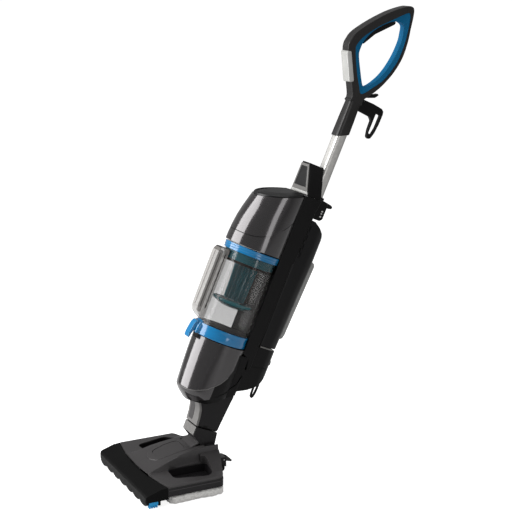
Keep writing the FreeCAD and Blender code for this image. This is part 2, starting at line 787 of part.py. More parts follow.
SEAM = [(-140, 478), (-114, 496), (-70, 516), (-40, 536), (BORDER_Q + 2, 563)]


def upper_skin():
    """Wall of the upper body, open at the back."""
    back = box(-WIDE, WIDE, BORDER_Q - 3, 10, 400, 700)
    return upper_form(0).cut(upper_form(WALL)).cut(back)


def upper_skirt():
    """Lower part of the upper body, between the tank and the seam."""
    region = side_slab(SEAM + [(BORDER_Q + 2, UPPER_BOTTOM), (-140, UPPER_BOTTOM)], WIDE)
    floor = box(-WIDE, WIDE, -150, BORDER_Q - 3, UPPER_BOTTOM, UPPER_BOTTOM + 3)
    plate = upper_form(0).common(floor)
    plate = plate.cut(rod(OUTLET_R, 10, V(0, TANK_Q, UPPER_BOTTOM - 2), UP))
    return upper_skin().common(region).fuse(plate)


def upper_shell():
    """Glossy shell between the seam and the cap."""
    seam = [(q, s + 0.3) for q, s in SEAM]
    top = [(BORDER_Q + 2, cap_line(BORDER_Q + 2, CAP_T + 0.3)), (-150, cap_line(-150, CAP_T + 0.3))]
    region = side_slab(seam + top + [(-150, 478)], WIDE)
    return upper_skin().common(region)


def top_cap():
    """Slanted cap that closes the upper shell."""
    q0 = -150
    q1 = BORDER_Q - 0.2
    region = side_slab([(q0, cap_line(q0, CAP_T)), (q1, cap_line(q1, CAP_T)),
                        (q1, cap_line(q1, 0)), (q0, cap_line(q0, 0))], WIDE)
    return upper_form(0).common(region)


def motor_can():
    """Motor in its can, hung under the cap."""
    can = rod(40, 60, V(0, TANK_Q, 512), UP)
    bore = rod(4 + RUN, 60, V(0, TANK_Q, 512), UP)
    rim = ring(46, 40, 512, 516, TANK_Q)
    return can.cut(bore).fuse(rim)


def fan_rotor():
    """Fan wheel on the motor shaft."""
    disk = rod(38, 3, V(0, TANK_Q, 506), UP)
    hub = rod(9, 12, V(0, TANK_Q, 496), UP)
    shaft = rod(4, 62, V(0, TANK_Q, 506), UP)
    blades = []
    for number in range(8):
        blade = box(8, 37, TANK_Q - 1, TANK_Q + 1, 496, 506.5)
        blade.rotate(V(0, TANK_Q, 0), UP, number * 45)
        blades.append(blade)
    return fuse_all([disk, hub, shaft] + blades)


def motor_filter():
    """Foam filter between the dirt tank and the fan."""
    return rod(42, 16, V(0, TANK_Q, UPPER_BOTTOM + 4), UP)


def tube_wire(grow, s):
    """Rounded-rectangle section of the tube."""
    half_x = TUBE_X + grow
    half_q = TUBE_D + grow
    solid = soft_box(-half_x, half_x, TUBE_Q - half_q, TUBE_Q + half_q, s, s + 1,
                     TUBE_ROUND + grow)
    base = [face for face in solid.Faces if abs(face.CenterOfMass.z - s) < 1e-6][0]
    return base.OuterWire


def tube_form(grow, s0, s1):
    return Part.Face(tube_wire(grow, s0)).extrude(V(0, 0, s1 - s0))


def tube():
    """Light metal tube between the body and the handle."""
    return tube_form(0, TUBE_BOTTOM, TUBE_TOP).cut(
        tube_form(-TUBE_WALL, TUBE_BOTTOM - 1, TUBE_TOP + 1))


def tube_housing():
    """Tapered housing in front of the tube, above the spine."""
    front = HOUSING_FRONT_LOW
    low = [(-HOUSING_LOW_HALF, front), (HOUSING_LOW_HALF, front), (HOUSING_LOW_HALF - 6, 37),
           (-HOUSING_LOW_HALF + 6, 37)]
    front = HOUSING_FRONT_TOP
    high = [(-HOUSING_TOP_HALF, front), (HOUSING_TOP_HALF, front), (HOUSING_BACK_HALF, 22),
            (-HOUSING_BACK_HALF, 22)]
    wires = []
    for outline, s in ((low, SPINE_TOP), (high, HOUSING_TOP)):
        corners = [V(x, q, s) for x, q in outline]
        wires.append(Part.makePolygon(corners + [corners[0]]))
    solid = Part.makeLoft(wires, True, True)
    return solid.cut(tube_form(GAP, SPINE_TOP - 1, HOUSING_TOP + 1))


def housing_front(s):
    """Front face of the housing at height s."""
    share = (s - SPINE_TOP) / (HOUSING_TOP - SPINE_TOP)
    return HOUSING_FRONT_LOW + share * (HOUSING_FRONT_TOP - HOUSING_FRONT_LOW)


def badge_plate():
    """Blank face plate on the front of the housing."""
    low = housing_front(SPINE_TOP + 6) - 0.1
    high = housing_front(HOUSING_TOP - 6) - 0.1
    outline = [(low, SPINE_TOP + 6), (high, HOUSING_TOP - 6), (high - 2, HOUSING_TOP - 6),
               (low - 2, SPINE_TOP + 6)]
    return side_slab(outline, HOUSING_TOP_HALF - 3)


def latch_block():
    """Block behind the spine top that grips the tube and holds the lever."""
    solid = soft_box(-BLOCK_HALF, BLOCK_HALF, SPINE_REAR + 0.3, BLOCK_REAR, WATER_TOP + 2,
                     SPINE_TOP, 6)
    solid = solid.cut(tube_form(0, TUBE_BOTTOM, SPINE_TOP + 1))
    pocket = box(-LEVER_HALF - GAP, LEVER_HALF + GAP, TUBE_Q + TUBE_D + 1, BLOCK_REAR + 1,
                 LEVER_S - 11, SPINE_TOP + 1)
    solid = solid.cut(pocket)
    return solid.fuse(cross_rod(LEVER_PIN_R, LEVER_HALF + 2, LEVER_Q + 8, LEVER_S - 3))


def water_lever():
    """Finger lever that frees the water tank."""
    q = LEVER_Q + 8
    s = LEVER_S - 3
    outline = [(q - 3, s - 3), (q - 3, s + 4), (q + 18, s + 10), (LEVER_TIP - 6, s + 7),
               (LEVER_TIP, s), (LEVER_TIP - 4, s - 3), (q + 14, s + 3), (q + 4, s - 4)]
    solid = side_slab(outline, LEVER_HALF)
    return solid.cut(cross_rod(LEVER_PIN_R + RUN, LEVER_HALF, q, s))


def slotted_leg(q0, q1, s0, s1, half):
    """Cord hook leg with a long slot seen from the side."""
    leg = soft_box(-half, half, q0, q1, s0, s1, 2.5, "x")
    slot_q = (q1 - q0) / 3
    slot = soft_box(-half, half, q0 + slot_q, q1 - slot_q, s0 + 12, s1 - 22, 1.5, "x")
    return leg.cut(slot)


def lower_cord_hook():
    """Fixed cord hook under the rear case."""
    leg = slotted_leg(CASE_REAR - 12, CASE_REAR + 3, 118, 186, 7)
    base = side_slab([(CASE_REAR - 24, 168), (CASE_REAR - 20, 180), (CASE_REAR - 1, 193),
                      (CASE_REAR - 1, 184), (CASE_REAR - 6, 172)], 12)
    hook = leg.fuse(base)
    return hook.cut(rear_case_space())


def rear_case_space():
    """Solid outside of the rear case with a small gap."""
    return side_slab([(SPINE_REAR, 200), (SPINE_REAR, CASE_TOP), (CASE_REAR + GAP, CASE_TOP),
                      (CASE_REAR - 3 + GAP, 194 - GAP), (SPINE_REAR + 12, 152 - GAP)],
                     CASE_HALF + 1)


def cord_gland():
    """Round gland where a power cord would leave the rear case."""
    outer = rod(8, 10, V(0, CASE_REAR + 0.1, 224), REAR)
    return outer.cut(rod(4, 10, V(0, CASE_REAR + 0.1, 224), REAR))


# ---------------------------------------------------------------- dirt tank

def tank_cup():
    """Clear cup with a closed floor, open to the lid."""
    outer = rod(CUP_R, LID_BOTTOM - RING_TOP - 0.6, V(0, TANK_Q, RING_TOP + 0.3), UP)
    inner = rod(CUP_R - CUP_WALL, LID_BOTTOM, V(0, TANK_Q, RING_TOP + 0.3 + CUP_WALL), UP)
    return outer.cut(inner)


def tank_lid():
    """Blue lid ring with two ridges and the air outlet."""
    disc = rod(RING_R, LID_TOP - LID_BOTTOM, V(0, TANK_Q, LID_BOTTOM), UP)
    groove = ring(RING_R + 1, RING_R - 2, LID_BOTTOM + 7, LID_BOTTOM + 9, TANK_Q)
    return disc.cut(groove).cut(rod(OUTLET_R, 40, V(0, TANK_Q, LID_BOTTOM - 1), UP))


def filter_flange():
    """Teal flange that hangs the filter core under the lid."""
    low = LID_BOTTOM - FLANGE_T
    disc = rod(FLANGE_R, FLANGE_T - 0.2, V(0, TANK_Q, low), UP)
    return disc.cut(rod(OUTLET_R, FLANGE_T, V(0, TANK_Q, low), UP))


def cyclone_core():
    """Ribbed filter core under the flange."""
    high = LID_BOTTOM - FLANGE_T - 0.2
    core = rod(CORE_R, high - DISK_S - 6.2, V(0, TANK_Q, DISK_S + 6.2), UP)
    core = core.cut(rod(CORE_R - 3, high, V(0, TANK_Q, DISK_S + 9), UP))
    ribs = []
    for number in range(18):
        rib = box(CORE_R - 1, CORE_R + 1.5, TANK_Q - 0.8, TANK_Q + 0.8, DISK_S + 7, high - 1)
        rib.rotate(V(0, TANK_Q, 0), UP, number * 20)
        ribs.append(rib)
    return fuse_all([core] + ribs)


def separator_disk():
    """Teal disk below the core that keeps the dirt down."""
    disk = rod(DISK_R, 3, V(0, TANK_Q, DISK_S + 3), UP)
    skirt = ring(DISK_R, DISK_R - 2, DISK_S - 5, DISK_S + 3, TANK_Q)
    return disk.fuse(skirt)


def tank_base_ring():
    """Blue ring and floor under the cup, with the latch pin."""
    disc = rod(RING_R, RING_TOP - RING_BOTTOM, V(0, TANK_Q, RING_BOTTOM), UP)
    disc = disc.cut(rod(DUCT_R + 3, 60, V(0, TANK_Q + 20, RING_BOTTOM - 1), UP))
    for side in (-1, 1):
        x0 = min(side * (LATCH_HALF + GAP), side * (LATCH_HALF + 3.4))
        lug = box(x0, x0 + 3, LATCH_Q - 3, TANK_Q - RING_R + 4, LATCH_S - 5, LATCH_S + 4)
        disc = disc.fuse(lug)
    return disc.fuse(cross_rod(LATCH_PIN_R, LATCH_HALF + 2, LATCH_Q, LATCH_S))


def tank_latch():
    """Blue release paddle on the front of the ring."""
    outline = [(LATCH_Q + 3.5, LATCH_S - 3), (LATCH_Q + 3.5, LATCH_S + 4), (LATCH_Q - 2, LATCH_S + 6),
               (LATCH_Q - 8, LATCH_S), (LATCH_Q - 9, LATCH_S - 33), (LATCH_Q - 5, LATCH_S - 37),
               (LATCH_Q - 2, LATCH_S - 34), (LATCH_Q - 1, LATCH_S - 10)]
    solid = side_slab(outline, LATCH_HALF)
    return solid.cut(cross_rod(LATCH_PIN_R + RUN, LATCH_HALF, LATCH_Q, LATCH_S))


def tank_grip():
    """Clear hollow column on the front of the cup."""
    solid = soft_box(-GRIP_HALF, GRIP_HALF, GRIP_FRONT, TANK_Q - CUP_R + 6, GRIP_BOTTOM,
                     GRIP_TOP, 5, "x")
    cup = rod(CUP_R + 0.2, 400, V(0, TANK_Q, 200), UP)
    inner = box(-GRIP_HALF + 2, GRIP_HALF - 2, GRIP_FRONT + 2, TANK_Q - CUP_R - 2,
                GRIP_BOTTOM + 2, GRIP_TOP - 2)
    return solid.cut(cup).cut(inner)


# ---------------------------------------------------------------- water tank

def water_form(inset):
    """Outside of the water tank, or its inside once inset by the wall."""
    low = WATER_BOTTOM + inset
    front = WATER_FRONT + inset
    top = WATER_TOP - inset
    rear = WATER_REAR - inset
    solid = side_slab([(front, low), (front, top), (40 - inset / 2, top),
                       (72 - inset, WATER_SHOULDER + 2 - inset / 2),
                       (rear - 4, WATER_SHOULDER - 14), (rear, 490), (rear - 8, low)],
                      WATER_HALF)
    return solid.common(tapered_plan(WATER_HALF - inset, front, rear, low, top))


def water_tank():
    """Smoky water tank on the back of the spine, hollow."""
    solid = water_form(0).cut(water_form(WALL))
    return solid.cut(rod(WATER_CAP_R - 4, 6, V(0, WATER_CAP_Q, WATER_BOTTOM - 1), UP))


def water_window():
    """Clear level strip that stands proud of the tank's back."""
    low = WATER_REAR - 8 + 8 * (STRIPE_BOTTOM - WATER_BOTTOM) / (490 - WATER_BOTTOM)
    outline = [(low + 0.1, STRIPE_BOTTOM), (WATER_REAR - 0.2, STRIPE_TOP),
               (STRIPE_REAR, STRIPE_TOP), (STRIPE_REAR - 8, STRIPE_BOTTOM)]
    return side_slab(outline, STRIPE_HALF)


def water_cap():
    """Fill cap in the floor of the water tank."""
    plug = rod(WATER_CAP_R - 4 - RUN, 4, V(0, WATER_CAP_Q, WATER_BOTTOM - 0.5), UP)
    head = rod(WATER_CAP_R, 2.6, V(0, WATER_CAP_Q, WATER_BOTTOM - 2.9), UP)
    return plug.fuse(head)


# ---------------------------------------------------------------- handle

def collar_form():
    """Sleeve round the tube end, with its lower edge cut slanted."""
    outline = [(COLLAR_FRONT, COLLAR_LOW_FRONT), (COLLAR_REAR, COLLAR_LOW_REAR),
               (COLLAR_REAR, COLLAR_TOP), (COLLAR_FRONT, COLLAR_TOP)]
    solid = side_slab(outline, COLLAR_HALF)
    sleeve = soft_box(-COLLAR_HALF, COLLAR_HALF, COLLAR_FRONT, COLLAR_REAR,
                      COLLAR_LOW_FRONT - 5, COLLAR_TOP, 8)
    return solid.common(sleeve)


def liner_form(grow, half):
    """Inner opening of the loop, grown outwards."""
    centre_q = sum(q for q, s in INNER_LOOP) / len(INNER_LOOP)
    centre_s = sum(rise for q, rise in INNER_LOOP) / len(INNER_LOOP)
    grown = []
    for q, s in INNER_LOOP:
        reach = math.hypot(q - centre_q, s - centre_s)
        scale = 1 + grow / reach
        grown.append((centre_q + (q - centre_q) * scale, centre_s + (s - centre_s) * scale))
    return side_loop(grown, half)


def handle_solid():
    """Loop and collar in one, bored for the tube and seated for the liner."""
    loop = side_loop(OUTER_LOOP, HANDLE_HALF)
    solid = loop.fuse(collar_form())
    solid = solid.cut(tube_form(0, COLLAR_LOW_FRONT - 10, TUBE_TOP))
    solid = solid.cut(liner_form(LINER_T + 0.1, HANDLE_HALF + 1))
    solid = solid.cut(panel_form(0.1, 6))
    solid = solid.cut(trigger_space(GAP))
    solid = solid.cut(rod(HOOK_PIN_R + RUN, 16, V(0, HOOK_Q - 16, HOOK_S), REAR))
    return solid


def handle_half(side):
    """Left or right half shell of the handle."""
    x0 = min(0, side * 40)
    return handle_solid().common(box(x0, x0 + 40, -80, 200, TUBE_BOTTOM, TUBE_TOP + 340))


def grip_liner():
    """Blue soft liner round the opening of the loop."""
    solid = liner_form(LINER_T, HANDLE_HALF + 0.8).cut(liner_form(0, HANDLE_HALF + 2))
    return solid.cut(trigger_space(GAP))


def trigger_space(gap):
    """Space in the bar for the trigger and its travel, widest at its front end."""
    room = []
    outline = [(q, TUBE_TOP + rise) for q, rise in TRIGGER]
    for q, s in outline[5:]:
        reach = math.hypot(TRIGGER_PIVOT[0] - q, TRIGGER_PIVOT[1] - s) / TRIGGER_REACH
        shift = gap + TRIGGER_TRAVEL * reach
        room.append((q - shift, s + shift * 0.8))
    inner = [(q + 3 * gap, s - 3 * gap) for q, s in outline[:4]]
    rear = (TRIGGER_PIVOT[0] + 9, TRIGGER_PIVOT[1] + 7)
    return side_slab(inner + [rear] + room, PANEL_HALF - 3 + gap)


def steam_trigger():
    """Finger trigger, hinged at its rear end."""
    return side_slab([(q, TUBE_TOP + rise) for q, rise in TRIGGER], PANEL_HALF - 3)


def panel_axes():
    """Start point, unit vector along the panel and unit vector out of it."""
    low = V(0, 13, TUBE_TOP + 60)
    high = V(0, -25, TUBE_TOP + 116)
    along = (high - low).normalize()
    outward = V(0, -along.z, along.y)
    return low, along, outward


def panel_block(half, length, depth, height, start):
    """Box in the panel's own frame: across X, along it, and out of it."""
    low, along, outward = panel_axes()
    origin = low + along * start
    corners = [origin - outward * depth, origin - outward * depth + along * length,
               origin + outward * height + along * length, origin + outward * height]
    return side_slab([(c.y, c.z) for c in corners], half)


def panel_form(gap, height):
    return panel_block(PANEL_HALF + gap, 64 + gap, 1.6 + gap, height, 0)


def button_place(number):
    """Centre of a button on the panel's face."""
    low, along, outward = panel_axes()
    return low + along * (14 + number * 16), outward


def control_panel():
    """Silver plate with holes for two buttons, and a lens set in it."""
    plate = panel_block(PANEL_HALF, 64, 1.5, PANEL_T, 0)
    for number in (0, 1):
        centre, outward = button_place(number)
        plate = plate.cut(rod(BUTTON_R + 0.1, 12, centre - outward * 6, outward))
    centre, outward = button_place(2)
    return plate.fuse(rod(2.6, 3.2, centre - outward * 1.5, outward))


def panel_button(number):
    """Round push button through the plate."""
    centre, outward = button_place(number)
    return rod(BUTTON_R, 3.4, centre - outward * 0.5, outward)


def button_wells(solid):
    """Room under the buttons for their stroke."""
    for number in (0, 1):
        centre, outward = button_place(number)
        solid = solid.cut(rod(BUTTON_R + 0.4, 8, centre - outward * 4, outward))
    return solid


def cord_hook():
    """Turning upper cord hook: pin, arm and slotted leg."""
    pin = rod(HOOK_PIN_R, 16, V(0, HOOK_Q - 15, HOOK_S), REAR)
    arm = soft_box(-HOOK_HALF, HOOK_HALF, HOOK_Q, HOOK_REAR, HOOK_S - 12, HOOK_S + 12, 3, "y")
    leg = slotted_leg(HOOK_REAR - 22, HOOK_REAR, HOOK_LOW, HOOK_S + 10, HOOK_HALF)
    return fuse_all([pin, arm, leg])


def cord_clip():
    """Small open clip on the back of the handle."""
    clip = side_slab([(q, TUBE_TOP + rise) for q, rise in CLIP], 6)
    return clip.cut(side_loop(OUTER_LOOP, HANDLE_HALF))


# ---------------------------------------------------------------- build

def build_head():
    save("head_base", head_base())
    save("head_cover", head_cover())
    save("hump_panel", hump_panel())
    save("nozzle_housing", nozzle_housing())
    save("nozzle_lip", nozzle_lip())
    save("edge_strips", edge_strips())
    save("head_duct", head_duct())
    save("pins_and_axle", pins_and_axle())
    save("wheel_left", wheel(-1))
    save("wheel_right", wheel(1))
    save("tray_pedal", tray_pedal())
    save("head_screws", head_screws())
    save("mop_tray", mop_tray())
    save("mop_pad", mop_pad())


def build_neck():
    save_leaned("neck_yoke", neck_yoke())
    yoke_top = SPLIT_S - SPLIT_GAP / 2 - 0.2
    save_leaned("yoke_front_strip", neck_strip(12, yoke_top, NECK_FRONT))
    save_leaned("swivel_bush", swivel_bush())
    save_leaned("neck_upper", neck_upper())
    save_leaned("neck_front_strip", neck_front_strip())


def build_body():
    save_leaned("lower_shell", lower_shell())
    save_leaned("chin_band", chin_band())
    save_leaned("chin_floor", chin_floor())
    save_leaned("spine_frame", spine_frame())
    save_leaned("rear_case", rear_case())
    save_leaned("boiler", boiler())
    save_leaned("water_pump", water_pump())
    save_leaned("suction_pipe", suction_pipe())
    save_leaned("upper_skirt", upper_skirt())
    save_leaned("upper_shell", upper_shell())
    save_leaned("top_cap", top_cap())
    save_leaned("motor_can", motor_can())
    save_leaned("fan_rotor", fan_rotor())
    save_leaned("motor_filter", motor_filter())
    save_leaned("tube_housing", tube_housing())
    save_leaned("badge_plate", badge_plate())
    save_leaned("tube", tube())
    save_leaned("latch_block", latch_block())
    save_leaned("water_lever", water_lever())
    save_leaned("lower_cord_hook", lower_cord_hook())
    save_leaned("cord_gland", cord_gland())


def build_tanks():
    save_leaned("tank_cup", tank_cup())
    save_leaned("tank_lid", tank_lid())
    save_leaned("filter_flange", filter_flange())
    save_leaned("cyclone_core", cyclone_core())
    save_leaned("separator_disk", separator_disk())
    save_leaned("tank_base_ring", tank_base_ring())
    save_leaned("tank_latch", tank_latch())
    save_leaned("tank_grip", tank_grip())
    save_leaned("water_tank", water_tank())
    save_leaned("water_window", water_window())
    save_leaned("water_cap", water_cap())


def build_handle():
    save_leaned("handle_left", button_wells(handle_half(-1)))
    save_leaned("handle_right", button_wells(handle_half(1)))
    save_leaned("grip_liner", grip_liner())
    save_leaned("steam_trigger", steam_trigger())
    save_leaned("control_panel", control_panel())
    save_leaned("vacuum_button", panel_button(0))
    save_leaned("steam_button", panel_button(1))
    save_leaned("cord_hook", cord_hook())
    save_leaned("cord_clip", cord_clip())


build_head()
build_neck()
build_body()
build_tanks()
build_handle()
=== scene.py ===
"""Looks of an upright floor cleaner with a suction nozzle and a steam mop pad.

Each sub-assembly is a class with its sizes as fields, in millimetres. Pieces above the
hinge are modelled in the body frame: X across, Q to the rear, S up along the leaning
body. The floor head is modelled level, with Y counted from the recline hinge.
"""

import json
import logging
import math
import random
from dataclasses import dataclass, field
from enum import Enum
from typing import Protocol

import bmesh
import bpy
from mathutils import Matrix, Vector, noise

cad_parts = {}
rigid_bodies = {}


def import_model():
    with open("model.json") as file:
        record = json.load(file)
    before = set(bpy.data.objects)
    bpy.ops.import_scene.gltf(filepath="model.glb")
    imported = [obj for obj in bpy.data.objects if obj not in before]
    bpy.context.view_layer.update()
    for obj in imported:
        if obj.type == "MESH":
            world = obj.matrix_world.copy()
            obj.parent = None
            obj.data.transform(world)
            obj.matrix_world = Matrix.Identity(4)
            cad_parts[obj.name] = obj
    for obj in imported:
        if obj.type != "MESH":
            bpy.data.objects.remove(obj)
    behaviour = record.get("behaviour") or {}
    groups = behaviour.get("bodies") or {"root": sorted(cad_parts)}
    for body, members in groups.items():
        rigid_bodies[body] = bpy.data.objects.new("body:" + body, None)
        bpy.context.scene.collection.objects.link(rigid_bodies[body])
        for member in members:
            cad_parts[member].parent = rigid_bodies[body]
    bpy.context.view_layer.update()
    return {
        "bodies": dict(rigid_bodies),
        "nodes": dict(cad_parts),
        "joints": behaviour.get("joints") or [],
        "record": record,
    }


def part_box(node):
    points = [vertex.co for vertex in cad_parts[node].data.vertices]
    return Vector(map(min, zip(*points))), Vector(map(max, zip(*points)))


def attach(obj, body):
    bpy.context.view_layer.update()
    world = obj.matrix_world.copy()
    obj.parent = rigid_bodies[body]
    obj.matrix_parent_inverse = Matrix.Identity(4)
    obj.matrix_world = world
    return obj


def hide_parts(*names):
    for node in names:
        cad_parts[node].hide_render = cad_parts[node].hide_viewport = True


LOG = logging.getLogger("floor_cleaner")
MM = 0.001
THROUGH = 70.0  # half width of a plate that reaches right through the body
Pair = tuple[float, float]
Point = Vector | tuple[float, float, float]


# ------------------------------------------------------------------ places

@dataclass(frozen=True)
class Place:
    """A frame that pieces are modelled in: an origin and a lean about X."""

    origin: Vector
    lean: float = 0.0

    def matrix(self) -> Matrix:
        """Return the matrix from this frame to the row frame."""
        return Matrix.Translation(self.origin) @ Matrix.Rotation(-self.lean, 4, "X")


def joint_named(frame: dict, name: str) -> dict:
    """Return the joint of that name from the frame."""
    return next(joint for joint in frame["joints"] if joint["name"] == name)


def body_place(frame: dict, swivel_q: float = -20.0, swivel_s: float = 33.0) -> Place:
    """Work out the leaned body frame from the swivel joint.

    Args:
        swivel_q: the swivel's place in the body frame, to the rear.
        swivel_s: the swivel's place in the body frame, up the body.

    Returns:
        The body frame.
    """
    swivel = joint_named(frame, "steer")
    lean = math.atan2(swivel["axis"][1], swivel["axis"][2])
    turned = Matrix.Rotation(-lean, 3, "X") @ (Vector((0, swivel_q, swivel_s)) * MM)
    return Place(Vector(swivel["pos_m"]) - turned, lean)


def head_place(frame: dict) -> Place:
    """Return the level frame under the recline hinge."""
    hinge = joint_named(frame, "recline")
    return Place(Vector((0, hinge["pos_m"][1], 0)))


# ------------------------------------------------------------------ sections

class Section(Protocol):
    """A closed outline that a solid passes through."""

    def spot(self, index: int, count: int) -> Vector:
        """Return outline point index of count, in millimetres."""


@dataclass(frozen=True)
class Rounded:
    """Level superellipse: square 2 is round, 6 is nearly a rectangle."""

    half_x: float
    half_y: float
    height: float
    x: float = 0.0
    y: float = 0.0
    square: float = 5.0

    def spot(self, index: int, count: int) -> Vector:
        """Return outline point index of count."""
        angle = 2 * math.pi * (index + 0.5) / count
        power = 2 / self.square
        cos, sin = math.cos(angle), math.sin(angle)
        return Vector((self.x + self.half_x * math.copysign(abs(cos) ** power, cos),
                       self.y + self.half_y * math.copysign(abs(sin) ** power, sin),
                       self.height))


@dataclass(frozen=True)
class Dee:
    """Level section with a round front, straight sides and a flat back."""

    front: float
    back: float
    half: float
    height: float
    border: float = -16.0
    tilt: float = 0.0

    def spot(self, index: int, count: int) -> Vector:
        """Return outline point index of count."""
        arc = count * 3 // 4
        depth = self.border - self.front
        radius = (self.half ** 2 + depth ** 2) / (2 * depth)
        middle = self.front + radius
        if index <= arc:
            reach = math.pi - math.asin(min(1.0, self.half / radius))
            angle = -reach + 2 * reach * index / arc
            x, y = radius * math.sin(angle), middle - radius * math.cos(angle)
        else:
            x, y = self._behind((index - arc) / (count - arc))
        return Vector((x, y, self.height + self.tilt * (y - self.border)))

    def _behind(self, share: float) -> Pair:
        """Return the point at a share of the way round the straight part."""
        side = max(0.2, self.back - self.border)
        run = (2 * side + 2 * self.half) * share
        if run < side:
            return self.half, self.border + run
        if run < side + 2 * self.half:
            return self.half - (run - side), self.border + side
        return -self.half, self.border + side - (run - side - 2 * self.half)


@dataclass(frozen=True)
class SideCut:
    """Side-view outline of (q, s) points, standing at one x."""

    points: tuple[Pair, ...]
    x: float

    def spot(self, index: int, count: int) -> Vector:
        """Return outline point index."""
        q, s = self.points[index]
        return Vector((self.x, q, s))


@dataclass(frozen=True)
class PlanCut:
    """Plan outline of (x, y) points, lying at one height."""

    points: tuple[Pair, ...]
    height: float

    def spot(self, index: int, count: int) -> Vector:
        """Return outline point index."""
        x, y = self.points[index]
        return Vector((x, y, self.height))


@dataclass(frozen=True)
class FrontCut:
    """Front-view outline of (x, z) points, standing at one y."""

    points: tuple[Pair, ...]
    y: float

    def spot(self, index: int, count: int) -> Vector:
        """Return outline point index."""
        x, z = self.points[index]
        return Vector((x, self.y, z))


def mirrored(right: list[Pair]) -> list[Pair]:
    """Return an outline from its right half, which starts and ends at the mid plane."""
    return right + [(-x, other) for x, other in reversed(right)]


def rounded_corners(points: list[Pair], radius: float, steps: int = 5) -> tuple[Pair, ...]:
    """Replace each corner of an outline with a quadratic curve.

    Args:
        points: the corners, in order.
        radius: how far from the corner the curve starts.
        steps: points on each curve.

    Returns:
        The softened outline.
    """
    result = []
    for number, corner in enumerate(points):
        here = Vector(corner)
        before = Vector(points[number - 1]) - here
        after = Vector(points[(number + 1) % len(points)]) - here
        start = here + before.normalized() * min(radius, before.length * 0.45)
        end = here + after.normalized() * min(radius, after.length * 0.45)
        for step in range(steps + 1):
            t = step / steps
            spot = start * (1 - t) ** 2 + here * 2 * t * (1 - t) + end * t ** 2
            result.append((spot.x, spot.y))
    return tuple(result)


def smooth_curve(points: list[Pair], steps: int, closed: bool = True) -> list[Pair]:
    """Run a Catmull-Rom curve through the points.

    Args:
        points: the points that the curve passes.
        steps: points made between two given ones.
        closed: True for a loop, False for an open line.

    Returns:
        The points of the curve.
    """
    count = len(points)
    result = []
    for number in range(count if closed else count - 1):
        picks = [number - 1, number, number + 1, number + 2]
        if closed:
            a, b, c, d = (Vector(points[pick % count]) for pick in picks)
        else:
            a, b, c, d = (Vector(points[min(max(pick, 0), count - 1)]) for pick in picks)
        for step in range(steps):
            t = step / steps
            spot = 0.5 * (2 * b + (c - a) * t + (2 * a - 5 * b + 4 * c - d) * t ** 2
                          + (3 * b - 3 * c + d - a) * t ** 3)
            result.append((spot.x, spot.y))
    if not closed:
        result.append(tuple(points[-1]))
    return result


# ------------------------------------------------------------------ bench

